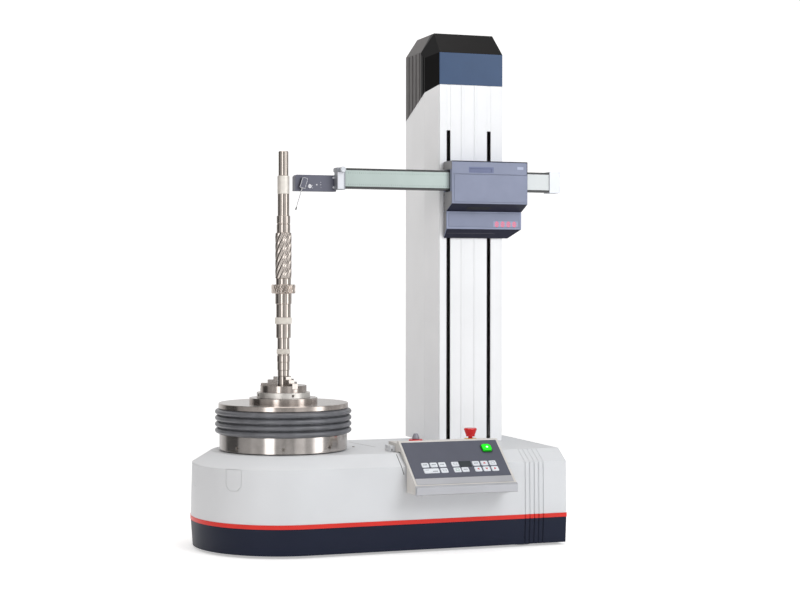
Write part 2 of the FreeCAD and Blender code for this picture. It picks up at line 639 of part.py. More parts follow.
def make_column():
    floor = d.housing_top + d.seat_gap
    outer = column_prism("cover_outer", 0, floor, d.cap_top)
    inner = column_prism("cover_inner", d.cover_sheet, floor - 5, d.cap_top + 5)
    raw = cut("cover_tube", outer, [inner])
    trimmed = doc.addObject("Part::Common", "cover_trimmed")
    trimmed.Base = raw
    trimmed.Tool = under_cap("cover_below_cap", d.seat_gap)
    plate_box = block("front_zone", d.column_left - 30, d.column_front - 5, floor - 10, d.column_width + 60,
                      5 + d.cover_sheet, d.cap_top)
    side_cover = cut("cover_sides", trimmed, [plate_box])
    keep(side_cover, "column_side_cover")

    edge = d.seat_gap
    top = d.cap_front_low - d.seat_gap
    front = block("front_plate", d.column_left + edge, d.column_front, floor, d.column_width - edge * 2,
                  d.cover_sheet - edge, top - floor)
    ridges = []
    for number, start in enumerate((d.ridge_first, d.ridge_second)):
        ridges.append(block(f"front_ridge{number}", start - d.ridge_width / 2, d.column_front - d.ridge_height, floor,
                            d.ridge_width, d.ridge_height + 1, top - floor))
    slots = []
    for side, middle in slot_positions():
        slots.append(block(f"slot_{side}", middle - d.slot_width / 2, d.column_front - 5, d.slot_bottom, d.slot_width,
                           15, d.slot_top - d.slot_bottom))
        slots.append(block(f"slot_line_{side}", middle - d.slot_width / 2, d.column_front - 1, d.slot_top, d.slot_width,
                           1.5, d.cap_top))
    front_cover = doc.addObject("Part::Common", "front_below_cap")
    front_cover.Base = cut("front_slotted", fuse("front_raw", [front, *ridges]), slots)
    front_cover.Tool = under_cap("front_limit", d.seat_gap)
    keep(front_cover, "column_front_cover")

    cap_low = d.cap_rear_low - 20
    cap_body = [column_prism("cap_prism", 0, cap_low, d.cap_top)]
    for number in range(RIB_COUNT):
        start = d.flank_end + d.cap_rib_first + d.cap_rib_pitch * number
        reach = (column_center() - d.column_rear_left) * 2 + d.cap_rib_height * 2
        cap_body.append(block(f"cap_rib{number}", d.column_rear_left - d.cap_rib_height, start, cap_low, reach,
                              d.cap_rib_width, d.cap_side_top - cap_low - d.cap_rib_height))
    crown = doc.addObject("Part::Common", "cap_crown")
    crown.Base = fuse("cap_ribbed", cap_body)
    crown.Tool = make_cap_roof()
    hollow = column_prism("cap_hollow", d.cover_sheet, d.cap_rear_low - 30, d.cap_side_top - d.cap_ceiling)
    band_recess = block("band_recess", d.column_left - 5, d.column_front - 5, d.cap_front_low - 5,
                        d.column_width + 10, 5 + d.band_sheet, d.band_top - d.cap_front_low + 5)
    keep(cut("cap_shell", crown, [under_cap("cap_below"), hollow, band_recess]), "column_cap")
    band = block("band_plate", d.column_left, d.column_front, d.cap_front_low, d.column_width,
                 d.band_sheet, d.band_top - d.cap_front_low)
    keep(band, "cap_front_band")

    opening = d.frame_opening
    outline = [
        (d.slot_center - d.frame_half, d.frame_front), (d.slot_center - opening, d.frame_front),
        (d.slot_center - opening, d.frame_front + d.frame_wall),
        (d.slot_center - d.frame_half + d.frame_wall, d.frame_front + d.frame_wall),
        (d.slot_center - d.frame_half + d.frame_wall, d.frame_rear - d.frame_wall),
        (d.slot_center + d.frame_half - d.frame_wall, d.frame_rear - d.frame_wall),
        (d.slot_center + d.frame_half - d.frame_wall, d.frame_front + d.frame_wall),
        (d.slot_center + opening, d.frame_front + d.frame_wall), (d.slot_center + opening, d.frame_front),
        (d.slot_center + d.frame_half, d.frame_front), (d.slot_center + d.frame_half, d.frame_rear),
        (d.slot_center - d.frame_half, d.frame_rear),
    ]
    frame = new_body("frame_section")
    sketch = new_sketch(frame, "frame_plan", "XY_Plane", d.trim_bottom)
    draw_outline(sketch, outline)
    pad(frame, sketch, d.frame_top - d.trim_bottom, name="frame_pad")
    bores = []
    for name, level in (("idler", d.idler_level), ("drive", d.drive_level)):
        bores.append(rod(f"{name}_bore", d.axle_radius + d.running_gap, d.frame_half * 2 + 10,
                         d.slot_center - d.frame_half - 5, d.pulley_depth, level, "x"))
    keep(cut("frame_bored", frame, bores), "column_frame")

    rails = []
    for side, middle in slot_positions():
        rails.append(block(f"rail_{side}", middle - d.rail_width / 2, d.frame_front - d.rail_depth, d.rail_bottom,
                           d.rail_width, d.rail_depth, d.rail_top - d.rail_bottom))
    keep(group("rails", rails), "guide_rails")


def make_cap_roof():
    """The faceted top of the cap: four slopes round a flat top and one cut-off corner each side."""
    middle = column_center()
    half_side = (middle - d.column_rear_left)
    front, rear = d.column_front, d.column_rear
    low = d.cap_rear_low - 40
    margin = d.cap_rib_height + 1
    across = [
        (middle - half_side - margin, low), (middle + half_side + margin, low),
        (middle + half_side + margin, d.cap_side_top), (middle + half_side, d.cap_side_top),
        (middle + half_side - d.cap_side_run, d.cap_top), (middle - half_side + d.cap_side_run, d.cap_top),
        (middle - half_side, d.cap_side_top), (middle - half_side - margin, d.cap_side_top),
    ]
    along = [
        (front - 1, low), (rear + 1, low), (rear + 1, d.cap_side_top), (rear - d.cap_rear_run, d.cap_top),
        (front + d.cap_front_run, d.cap_top), (front, d.band_top), (front - 1, d.band_top - 1),
    ]
    side_form = extruded("roof_across", "XZ_Plane", across, -(front - 10), rear - front + 20, reverse=True)
    front_form = extruded("roof_along", "YZ_Plane", along, middle - half_side - 10, half_side * 2 + 20)
    roof = doc.addObject("Part::Common", "roof_slopes")
    roof.Base = side_form
    roof.Tool = front_form
    corners = []
    for name, side in (("left", -1), ("right", 1)):
        top_corner = (middle + side * (half_side - d.cap_side_run), front + d.cap_front_run, d.cap_top)
        front_corner = (middle + side * d.column_width / 2, front, d.band_top)
        rear_corner = (middle + side * half_side, front + d.corner_back, d.cap_side_top)
        corners.append(corner_cut(f"roof_corner_{name}", top_corner, front_corner, rear_corner, side))
    return cut("roof", roof, corners)


def corner_cut(name, first, second, third, side):
    """The wedge outside the plane through three points of the cap's corner."""
    points = [FreeCAD.Vector(*[size(value).number for value in point]) for point in (first, second, third)]
    middle = (points[0] + points[1] + points[2]) / 3
    normal = (points[1] - points[0]).cross(points[2] - points[0]).normalize()
    if normal.z < 0:
        normal = -normal
    reach = 200
    face = Part.makePlane(reach * 2, reach * 2, FreeCAD.Vector(-reach, -reach, 0))
    wedge = face.extrude(FreeCAD.Vector(0, 0, reach))
    item = doc.addObject("Part::Feature", name)
    item.Shape = wedge
    item.Placement = FreeCAD.Placement(middle, FreeCAD.Rotation(FreeCAD.Vector(0, 0, 1), normal))
    return item


def make_lift_drive():
    middle = d.slot_center
    frame_left = middle - d.frame_half
    for name, level in (("idler_pulley", d.idler_level), ("drive_pulley", d.drive_level)):
        wheel = rod(f"{name}_wheel", d.pulley_radius, d.pulley_width, middle - d.pulley_width / 2, d.pulley_depth, level, "x")
        axle = rod(f"{name}_axle", d.axle_radius, d.frame_half * 2 - 2, frame_left + 1, d.pulley_depth, level, "x")
        keep(fuse(f"{name}_solid", [wheel, axle]), name)
    inner = d.pulley_radius + d.belt_gap
    outer = inner + d.belt_thick
    left = middle - d.belt_width / 2
    length = d.idler_level - d.drive_level
    outside = belt_loop("belt_outside", outer, left, d.belt_width, length)
    inside = belt_loop("belt_inside", inner, left - 1, d.belt_width + 2, length)
    keep(cut("belt_loop", outside, [inside]), "lift_belt")
    rear = d.pulley_depth + outer + d.belt_gap
    depth = d.frame_rear - d.frame_wall - d.weight_gap - rear
    keep(block("weight", middle - d.weight_half, rear, d.weight_bottom, d.weight_half * 2, depth, d.weight_height),
         "counterweight")
    start = middle + d.pulley_width / 2 + d.z_motor_gap
    reach = middle + d.frame_half - d.frame_wall - start
    motor = rod("motor_case", d.z_motor_radius, reach, start, d.pulley_depth, d.drive_level, "x")
    bore = rod("motor_bore", d.axle_radius + d.running_gap, reach + 2, start - 1, d.pulley_depth, d.drive_level, "x")
    keep(cut("motor", motor, [bore]), "lift_motor")


def belt_loop(name, radius, left, width, length):
    ends = [rod(f"{name}_{end}", radius, width, left, d.pulley_depth, level, "x")
            for end, level in (("low", d.drive_level), ("high", d.idler_level))]
    middle = block(f"{name}_run", left, d.pulley_depth - radius, d.drive_level, width, radius * 2, length)
    return fuse(f"{name}_solid", [*ends, middle])


def make_carriage():
    height = d.saddle_top - d.saddle_bottom
    saddle_front = d.arm_half + d.arm_gap
    plate = block("saddle_plate", d.saddle_left, saddle_front, d.saddle_bottom,
                  d.saddle_right - d.saddle_left, d.saddle_rear - saddle_front, height)
    solids = [plate]
    grooves = []
    for side, middle in slot_positions():
        solids.append(block(f"web_{side}", middle - d.web_width / 2, d.saddle_rear - 1, d.saddle_bottom, d.web_width,
                            d.runner_front - d.saddle_rear + 2, height))
        solids.append(block(f"runner_{side}", middle - d.runner_width / 2, d.runner_front, d.saddle_bottom,
                            d.runner_width, d.runner_rear - d.runner_front, height))
        grooves.append(block(f"runner_groove_{side}", middle - d.rail_width / 2 - d.runner_gap,
                             d.frame_front - d.rail_depth - d.runner_gap, d.saddle_bottom - 1,
                             d.rail_width + d.runner_gap * 2, d.rail_depth, height + 2))
    bridge_low = (d.saddle_bottom + d.saddle_top - d.bridge_height) / 2
    groove_front = d.frame_front - d.rail_depth - d.runner_gap
    solids.append(block("bridge", d.slot_center - d.slot_pitch / 2, d.runner_front, bridge_low, d.slot_pitch,
                        groove_front - 1 - d.runner_front, d.bridge_height))
    belt_front = d.pulley_depth - d.pulley_radius - d.belt_gap - d.belt_thick
    solids.append(block("belt_tongue", d.slot_center - d.tongue_half, d.runner_front, bridge_low, d.tongue_half * 2,
                        belt_front - d.belt_gap - d.runner_front, d.bridge_height))
    shoe_left = d.carriage_left + d.cover_wall + 2
    shoe_length = d.carriage_width - d.cover_wall * 2 - 4
    for name, low in (("low", d.arm_low - d.arm_gap - d.shoe_height), ("high", d.arm_high + d.arm_gap)):
        thick = d.shoe_height if name == "low" else d.saddle_top - d.arm_high - d.arm_gap
        solids.append(block(f"arm_shoe_{name}", shoe_left, d.shoe_front, low, shoe_length,
                            saddle_front - d.shoe_front + 1, thick))
    keep(cut("saddle", fuse("saddle_raw", solids), grooves), "carriage_saddle")

    back = d.cover_back
    front = d.carriage_front
    left = d.carriage_left
    wall = d.cover_wall
    undercut_y = front + d.undercut_depth
    lower = [(front, d.carriage_low), (undercut_y, d.undercut_low), (back, d.undercut_low),
             (back, d.carriage_split), (front, d.carriage_split)]
    outer = extruded("cover_form", "YZ_Plane", lower, left, d.carriage_width)
    inside = [(front + wall, d.carriage_low + 1), (undercut_y, d.undercut_low + wall),
              (back + 1, d.undercut_low + wall), (back + 1, d.carriage_split + 1), (front + wall, d.carriage_split + 1)]
    hollow = extruded("cover_hollow", "YZ_Plane", inside, left + wall, d.carriage_width - wall * 2)
    arm_window = block("arm_window", left - 5, -d.arm_half - 2, d.arm_low - 2, d.carriage_width + 10,
                       d.arm_half * 2 + 4, d.arm_high - d.arm_low + 4)
    saddle_window = block("saddle_window", d.saddle_left - 1, saddle_front - 1, d.undercut_low - 2,
                          d.saddle_right - d.saddle_left + 2, back, wall + 4)
    keep(cut("cover_cut", outer, [hollow, arm_window, saddle_window]), "carriage_cover")

    split = d.carriage_split + d.seat_gap
    lid = block("lid_form", left, front, split, d.carriage_width, back - front, d.carriage_high - split)
    lid_hollow = block("lid_hollow", left + wall, front + wall, split - 1, d.carriage_width - wall * 2,
                       back - front - wall + 1, d.carriage_high - split - wall + 1)
    lid_window = block("lid_arm_window", left - 5, -d.arm_half - 2, split - 1, d.carriage_width + 10,
                       d.arm_half * 2 + 4, d.arm_high + 2 - split + 1)
    pocket_cut = block("lid_pocket", d.pocket_left, front - 1, d.carriage_split + 4, d.pocket_width,
                       wall - 1 + 0.5, d.pocket_height)
    keep(cut("lid", lid, [lid_hollow, lid_window, pocket_cut]), "carriage_lid")

    top = d.undercut_low - d.seat_gap
    lower_back = d.cover_back
    profile = [(d.lower_front, d.lower_bottom), (d.lower_front, top), (lower_back, top),
               (lower_back, d.lower_bottom - d.lower_slope)]
    sensor = extruded("sensor_form", "YZ_Plane", profile, left, d.carriage_width)
    gap = d.seat_gap
    saddle_bay = block("saddle_bay", d.saddle_left - gap, saddle_front - gap, d.saddle_bottom - gap,
                       d.saddle_right - d.saddle_left + gap * 2, lower_back, top - d.saddle_bottom + gap + 1)
    right = left + d.carriage_width
    corner = extruded("sensor_corner", "XZ_Plane", [
        (right - d.lower_corner, d.lower_bottom - d.lower_slope), (right, d.lower_bottom), (right + 5, d.lower_bottom),
        (right + 5, d.lower_bottom - d.lower_slope - 5), (right - d.lower_corner, d.lower_bottom - d.lower_slope - 5),
    ], -(lower_back + 5), lower_back + 5)
    keep(cut("sensor_cut", sensor, [saddle_bay, corner]), "sensor_cover")
    display = block("display_plate", d.display_left, d.lower_front - d.display_thick, d.lower_bottom + 3,
                    d.display_width, d.display_thick, d.display_height)
    keep(display, "position_display")


def make_arm():
    height = d.arm_high - d.arm_low
    beam = block("arm_bar", d.arm_left, -d.arm_half, d.arm_low, d.arm_right - d.arm_left, d.arm_half * 2, height)
    recesses = []
    for name, y in (("front", -d.arm_half - 1), ("rear", d.arm_half - d.face_recess)):
        recesses.append(block(f"arm_recess_{name}", d.arm_left - 1, y, d.arm_low + d.face_margin,
                              d.arm_right - d.arm_left + 2, d.face_recess + 1, height - d.face_margin * 2))
    keep(cut("arm", beam, recesses), "arm_beam")
    edge = d.end_cap_edge
    keep(block("arm_cap", d.arm_right, -d.arm_half - edge, d.arm_low - edge, d.end_cap_length,
               (d.arm_half + edge) * 2, height + edge * 2), "arm_end_cap")

    left = d.arm_left - d.block_width
    lower = block("block_lower", left, d.block_front, d.block_low, d.block_width, d.head_front - d.block_front,
                  d.block_high - d.block_low)
    upper = block("block_upper", left, d.block_front, d.block_high - 1, d.block_width,
                  d.arm_half - d.block_front, d.block_step_high + 1 - d.block_high)
    knob_x = d.arm_left - d.knob_inset
    knob_z = d.block_step_high - d.knob_radius + 1
    stem_bore = rod("stem_bore", d.knob_stem_radius + d.running_gap, 12, knob_x, d.block_front - 1, knob_z, "y")
    keep(cut("end_block", fuse("block_raw", [lower, upper]), [stem_bore]), "arm_end_block")
    knob_front = d.block_front - d.seat_gap - d.knob_length
    grip = rod("knob_grip", d.knob_radius, d.knob_length, knob_x, knob_front, knob_z, "y")
    stem = rod("knob_stem", d.knob_stem_radius, d.knob_length + 8, knob_x, knob_front + 1, knob_z, "y")
    keep(fuse("knob", [grip, stem]), "clamp_knob")

    top = d.head_low + d.head_height
    right = d.head_left + d.head_length
    corner = d.head_corner
    outline = [(d.head_left, d.head_low), (right, d.head_low), (right, top), (d.head_left + corner, top),
               (d.head_left, top - corner)]
    head = extruded("head", "XZ_Plane", outline, -d.head_front, d.head_depth, reverse=True)
    pivot_hole = rod("pivot_hole", d.pivot_radius + d.running_gap, 10, d.holder_x, d.head_front - 1, d.holder_z, "y")
    keep(cut("head_bored", head, [pivot_hole]), "probe_head")

    thick = d.holder_thick
    half = d.holder_width / 2
    end = d.holder_length / 2
    outline = [(-half, -end), (half, -end), (half, end), (-half, end)]
    holder = extruded("holder_plate", "XZ_Plane", outline, thick / 2, thick, reverse=True)
    socket_depth = d.shank_seat * 3 + 1
    socket = rod("holder_socket", d.shank_radius + d.socket_gap, socket_depth, z=-end - 1)
    cross_pin = rod("stylus_pin", d.stylus_pin_radius, thick - 1, 0, 0.5 - thick / 2, -d.stylus_pivot, "y")
    boss_length = d.head_front - d.holder_gap - thick / 2
    boss = rod("holder_boss", d.boss_radius, boss_length + 1, 0, thick / 2 - 1, 0, "y")
    pin = rod("holder_pin", d.pivot_radius, boss_length + 8, 0, thick / 2 - 1, 0, "y")
    bored = cut("holder_bored", fuse("holder_raw", [holder, boss, pin]), [socket])
    assembled = fuse("holder_pinned", [bored, cross_pin])
    keep(place(assembled, d.holder_x, 0, d.holder_z, turn=d.lean, about=(0, 1, 0)), "stylus_holder")

    shank = rod("stylus_shank", d.shank_radius, d.shank_length, z=-end - d.shank_length + d.shank_seat * 2)
    pin_hole = rod("stylus_pin_hole", d.stylus_pin_radius + d.running_gap, thick, 0, -thick / 2, -d.stylus_pivot, "y")
    needle = rod("stylus_needle", d.stylus_radius, d.stylus_length - end, z=-d.stylus_length)
    tip = ball("stylus_tip", d.tip_radius, 0, 0, -d.stylus_length)
    stylus = cut("stylus_solid", fuse("stylus_raw", [shank, needle, tip]), [pin_hole])
    keep(place(stylus, d.holder_x, 0, d.holder_z, turn=d.lean, about=(0, 1, 0)), "stylus")


def on_slope(item, x, y, z=0):
    """Lay an object on the panel face: x to the right, y up the slope from its top edge, z out of it."""
    run, fall = d.panel_run, d.panel_fall
    length = (run.number ** 2 + fall.number ** 2) ** 0.5
    slope = Size(f"sqrt(({run.text}) ^ 2 + ({fall.text}) ^ 2)", length)
    y, z = size(y), size(z)
    item.Placement = FreeCAD.Placement(FreeCAD.Vector(), FreeCAD.Rotation(FreeCAD.Vector(1, 0, 0), 1))
    item.setExpression("Placement.Rotation.Angle", f"atan({fall.text} / {run.text})")
    values = {
        "x": size(x),
        "y": d.panel_shelf_y + y * run / slope - z * fall / slope,
        "z": d.panel_crest_z + y * fall / slope + z * run / slope,
    }
    for axis, value in values.items():
        item.setExpression(f"Placement.Base.{axis}", value.text)
    return item


# Key columns in key pitches from the first key, and each key's width in keys.
UPPER_KEYS = [(0, 1), (1, 1), (2, 1), (3.53, 1), (6, 1), (7, 1), (8, 1)]
LOWER_KEYS = [(0.5, 2.25), (2, 1), (3.53, 1), (4.48, 1), (6, 1), (7, 1), (8, 1)]
WINDOW_COLUMN = 4.73


def make_panel():
    front_y = d.panel_shelf_y - d.panel_run
    edge_z = d.panel_crest_z - d.panel_fall
    crest_rear = d.panel_shelf_y + d.crest_depth
    wall_y = -(d.base_radius + d.panel_clear)
    chamfer_y = -(d.base_radius - d.chamfer_inset)
    floor = d.housing_top + d.seat_gap
    outline = [
        (d.panel_shelf_y, d.panel_crest_z), (front_y, edge_z), (front_y, d.panel_body_low),
        (wall_y, d.panel_body_low), (wall_y, d.wall_top), (chamfer_y - d.panel_clear, d.housing_top + d.panel_clear),
        (d.panel_shelf_y, floor), (d.panel_rear, floor), (d.panel_rear, d.panel_shelf_z),
        (crest_rear, d.panel_shelf_z), (crest_rear, d.panel_crest_z),
    ]
    case = extruded("panel_form", "YZ_Plane", outline, d.panel_left, d.panel_width)
    slope = Size(f"sqrt(({d.panel_run.text}) ^ 2 + ({d.panel_fall.text}) ^ 2)",
                 math.hypot(d.panel_run.number, d.panel_fall.number))
    margin, gap = d.plate_margin, d.seat_gap
    plate_length = d.foil_end - margin
    recess_length = slope - margin * 1.5
    plate_width = d.panel_width - margin * 2
    plate_x = d.panel_left + margin

    def face_block(name, x, y, z, width, length, height):
        """A block on the panel face, from its low-left corner."""
        item = doc.addObject("Part::Box", name)
        bind(item, Length=width, Width=length, Height=height)
        return on_slope(item, x, y, z)

    recess = face_block("plate_recess", plate_x - gap, -margin - recess_length - gap, -d.plate_thick + 0.5,
                        plate_width + gap * 2, recess_length + gap * 2, d.plate_thick + 5)
    well_gap = d.button_gap
    well = face_block("button_well", d.button_x - d.button_width / 2 - well_gap,
                      d.button_y - d.button_length / 2 - well_gap, -d.plate_thick - d.button_well,
                      d.button_width + well_gap * 2, d.button_length + well_gap * 2, d.button_well + 10)
    stop_well = rod("stop_well", d.stop_stem + 0.5, 20, d.stop_x, d.stop_y, d.panel_shelf_z - 10)
    dial_well = rod("dial_well", d.dial_stem + 0.5, 20, d.dial_x, d.stop_y, d.panel_shelf_z - 6)
    keep(cut("panel_case", case, [recess, well, stop_well, dial_well]), "panel_housing")

    plate = face_block("face_plate", plate_x, -d.foil_end, -d.plate_thick + 0.5, plate_width, plate_length,
                       d.plate_thick)
    keep(cut("face_plate_cut", plate, [well]), "panel_face")

    keys = []
    for row, (columns, row_y) in enumerate(((UPPER_KEYS, d.key_upper), (LOWER_KEYS, d.key_lower))):
        for number, (column, keys_wide) in enumerate(columns):
            width = d.key_width * keys_wide
            x = d.key_first + d.key_pitch * column - width / 2
            keys.append(face_block(f"key_{row}_{number}", x, row_y - d.key_length / 2, 0.5, width, d.key_length,
                                   d.key_thick))
    keep(group("keys", keys), "key_pads")
    window_x = d.key_first + d.key_pitch * WINDOW_COLUMN - d.window_width / 2
    keep(face_block("window", window_x, d.key_upper - d.window_length / 2, 0.5, d.window_width, d.window_length,
                    d.key_thick / 2), "panel_window")

    keep(face_block("start", d.button_x - d.button_width / 2, d.button_y - d.button_length / 2,
                    -d.plate_thick - d.button_well + d.button_travel + 0.5, d.button_width, d.button_length,
                    d.plate_thick + d.button_well + d.button_high - d.button_travel), "start_button")

    lip_y = front_y - gap
    face = lip_y - d.panel_lip_thick
    top = edge_z - 0.5
    rib = (top - d.panel_lip_height - d.panel_body_low) / 2
    profile = [(lip_y, d.panel_body_low), (lip_y, top), (lip_y - 2, top), (face, top - 3)]
    level = top - d.panel_lip_height
    groove = d.panel_lip_groove
    for number in range(2):
        profile += [(face, level), (face + groove, level - groove), (face + groove, level - groove * 2),
                    (face, level - groove * 3)]
        level = level - rib
    profile += [(face, d.panel_body_low + 0.5), (face + 1, d.panel_body_low)]
    lip = extruded("lip", "YZ_Plane", profile, d.panel_left, d.panel_width)
    strip_low = -margin - recess_length
    strip = face_block("label_strip", plate_x, strip_low, -d.plate_thick + 0.5, plate_width,
                       -d.foil_end - gap - strip_low, d.plate_thick)
    keep(group("lip_and_strip", [lip, strip]), "panel_lip")

    pod_left = d.panel_left - d.pod_reach
    pod = block("pod", pod_left, d.panel_shelf_y + 20, floor, d.pod_reach - gap,
                d.panel_rear - d.panel_shelf_y - 28, d.panel_shelf_z - floor - d.pod_drop)
    pod_hole = rod("pod_hole", d.pod_hole_radius, 6, pod_left - 1, d.panel_rear - 20, floor + 8, "x")
    support = block("support", d.panel_left + d.bracket_inset, front_y + 5, d.panel_body_low - gap - d.bracket_thick,
                    d.panel_width - d.bracket_inset * 2, -d.base_radius - front_y - 5 - gap, d.bracket_thick)
    keep(group("bracket", [cut("pod_drilled", pod, [pod_hole]), support]), "panel_bracket")

    base = d.panel_shelf_z
    collar = turned("stop_ring", [(d.stop_stem + d.running_gap, base), (d.stop_collar_radius, base),
                                  (d.stop_collar_radius, d.stop_collar_top), (d.stop_stem + d.running_gap, d.stop_collar_top)],
                    d.stop_x, d.stop_y)
    keep(collar, "e_stop_collar")
    under = d.stop_collar_top + d.stop_travel + 0.5
    mushroom = turned("mushroom", [
        (0, base - 4), (d.stop_stem, base - 4), (d.stop_stem, under), (d.stop_neck, under),
        (d.stop_neck, under + 3), (d.stop_radius, d.stop_top - 3), (d.stop_radius - 1.5, d.stop_top),
        (0, d.stop_top)], d.stop_x, d.stop_y)
    keep(mushroom, "e_stop_button")
    disc_top = base + d.dial_disc_high
    disc = turned("dial_ring", [(d.dial_stem + d.running_gap, base), (d.dial_disc_radius, base),
                                (d.dial_disc_radius - 1.5, disc_top), (d.dial_stem + d.running_gap, disc_top)],
                  d.dial_x, d.stop_y)
    keep(disc, "dial_collar")
    knob = turned("dial_grip", [
        (0, base - 3), (d.dial_stem, base - 3), (d.dial_stem, disc_top + 0.4), (d.dial_radius, disc_top + 0.4),
        (d.dial_radius, disc_top + 3), (d.dial_tip, d.dial_top - 1), (d.dial_tip - 1, d.dial_top), (0, d.dial_top)],
        d.dial_x, d.stop_y)
    keep(knob, "control_dial")


make_base()
make_spindle()
make_table()
make_chuck()
make_workpiece()
make_column()
make_lift_drive()
make_carriage()
make_arm()
make_panel()
doc.recompute()

for item in doc.Objects:
    if {"Invalid", "Error"} & set(item.State):
        raise ValueError(f"{item.Name} could not be made: {item.State}")
for item in pieces:
    if item.Shape.isNull() or not item.Shape.isValid() or not item.Shape.Solids:
        raise ValueError(f"{item.Label} is not a sound solid")

os.makedirs("parts", exist_ok=True)
for item in pieces:
    item.Shape.exportStep(f"parts/{item.Label}.step")
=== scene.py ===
import math

import bmesh
import bpy
from bpy.props import FloatProperty, FloatVectorProperty, IntProperty, PointerProperty
from mathutils import Matrix, Vector


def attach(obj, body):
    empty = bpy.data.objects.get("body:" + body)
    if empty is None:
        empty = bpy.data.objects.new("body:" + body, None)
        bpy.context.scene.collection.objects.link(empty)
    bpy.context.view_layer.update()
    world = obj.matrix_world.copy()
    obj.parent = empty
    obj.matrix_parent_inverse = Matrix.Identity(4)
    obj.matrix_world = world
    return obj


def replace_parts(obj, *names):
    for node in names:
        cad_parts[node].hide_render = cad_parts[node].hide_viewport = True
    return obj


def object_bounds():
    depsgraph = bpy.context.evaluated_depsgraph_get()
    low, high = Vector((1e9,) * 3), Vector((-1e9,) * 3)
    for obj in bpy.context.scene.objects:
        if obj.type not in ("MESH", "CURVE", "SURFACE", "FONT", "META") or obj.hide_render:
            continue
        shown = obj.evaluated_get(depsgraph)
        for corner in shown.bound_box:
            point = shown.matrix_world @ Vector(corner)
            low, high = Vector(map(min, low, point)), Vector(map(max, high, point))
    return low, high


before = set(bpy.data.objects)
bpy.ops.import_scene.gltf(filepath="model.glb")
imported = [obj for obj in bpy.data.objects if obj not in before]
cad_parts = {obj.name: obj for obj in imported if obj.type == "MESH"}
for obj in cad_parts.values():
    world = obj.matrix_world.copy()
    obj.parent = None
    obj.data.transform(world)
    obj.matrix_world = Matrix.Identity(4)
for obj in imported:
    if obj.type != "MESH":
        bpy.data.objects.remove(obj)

bl_info = {
    "name": "Cylindricity tester finish",
    "version": (1, 0, 0),
    "blender": (4, 5, 0),
    "location": "3D View > Sidebar > Form tester",
    "description": "Dresses the packed cylindricity tester with materials, small details, floor, light and camera",
    "category": "Object",
}

CAD_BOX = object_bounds()
MM = 0.001


def linear(code):
    """An sRGB hex colour as the linear colour that Blender's sockets take."""
    values = [int(code[i:i + 2], 16) / 255 for i in (1, 3, 5)]
    return (*[v / 12.92 if v <= 0.04045 else ((v + 0.055) / 1.055) ** 2.4 for v in values], 1.0)


def colour_setting(name, description, code):
    """A colour setting from its sRGB hex code."""
    return FloatVectorProperty(name=name, description=description, subtype="COLOR", size=4, min=0, max=1,
                               default=linear(code))


def length_setting(name, description, size, least=0):
    """A length setting, given in millimetres."""
    return FloatProperty(name=name, description=description, unit="LENGTH", default=size * MM, min=least * MM)


class TesterSizes(bpy.types.PropertyGroup):
    """Sizes of the details that are drawn here"""
    edge_break: length_setting("Edge break", "Radius of the softened edges on painted and moulded covers", 1.5)
    machined_break: length_setting("Machined edge", "Radius of the broken edges on machined steel", 0.4)
    worm_starts: IntProperty(name="Worm starts", description="Number of threads wound round the workpiece",
                             default=12, min=3)
    worm_lead: length_setting("Worm lead", "Height that one worm thread climbs in a turn", 225, least=20)
    worm_depth: length_setting("Worm depth", "Depth of the worm's grooves", 1.9)
    gear_teeth: IntProperty(name="Gear teeth", description="Number of teeth on the workpiece's gear",
                            default=24, min=8)
    gear_lead: length_setting("Gear lead", "Height that one gear tooth would climb in a turn", 330, least=20)
    tooth_depth: length_setting("Tooth depth", "Depth of the workpiece's gear teeth", 3)
    splines: IntProperty(name="Splines", description="Number of straight teeth on the workpiece's two splined rings",
                         default=52, min=8)


class TesterColours(bpy.types.PropertyGroup):
    """Colours of the painted, moulded and anodised parts"""
    cover: colour_setting("Base covers", "Powder coat of the base", "#D9DBDE")
    # The column's coat is the base's white powder coat painted brighter, for the stronger light that falls on the
    # column.
    column: colour_setting("Column covers", "Powder coat of the column", "#F1F2F4")
    plinth: colour_setting("Plinth", "Powder coat of the plinth skirt", "#0E162B")
    trim: colour_setting("Trim", "Enamel of the line round the base", "#DE2F27")
    cap: colour_setting("Cap", "Moulded cap of the column", "#0A090A")
    band: colour_setting("Band", "Enamelled band below the cap", "#334B6D")
    carriage: colour_setting("Carriage", "Moulded covers of the carriage", "#7F869E")
    arm: colour_setting("Arm", "Ground face plates of the arm", "#ABB8B4")
    head: colour_setting("Probe head", "Anodised probe head", "#5F606D")
    panel: colour_setting("Panel", "Printed foil of the operating panel", "#4B4E5C")


class TesterCamera(bpy.types.PropertyGroup):
    """The camera that took the photo, as fitted to its straight edges"""
    place: FloatVectorProperty(name="Place", description="Where the camera stands", subtype="XYZ", unit="LENGTH",
                               default=(-0.96414, -3.57151, 0.58299))
    yaw: FloatProperty(name="Yaw", description="Turn to the right from +Y", subtype="ANGLE", default=0.33311)
    pitch: FloatProperty(name="Pitch", description="Tilt downwards", subtype="ANGLE", default=0.01206)
    roll: FloatProperty(name="Roll", description="Turn about the line of sight", subtype="ANGLE", default=0.00096)
    lens: FloatProperty(name="Lens", description="Focal length on a 36 mm wide sensor, in mm", default=75.44)


def settings():
    """The sizes and colours that the sidebar shows."""
    scene = bpy.context.scene
    return scene.tester_sizes, scene.tester_colours


def new_object(name, mesh, material):
    """Turns a finished mesh into a smooth-shaded object."""
    data = bpy.data.meshes.new(name)
    mesh.to_mesh(data)
    mesh.free()
    data.shade_smooth()
    data.materials.append(material)
    item = bpy.data.objects.new(name, data)
    bpy.context.scene.collection.objects.link(item)
    return item


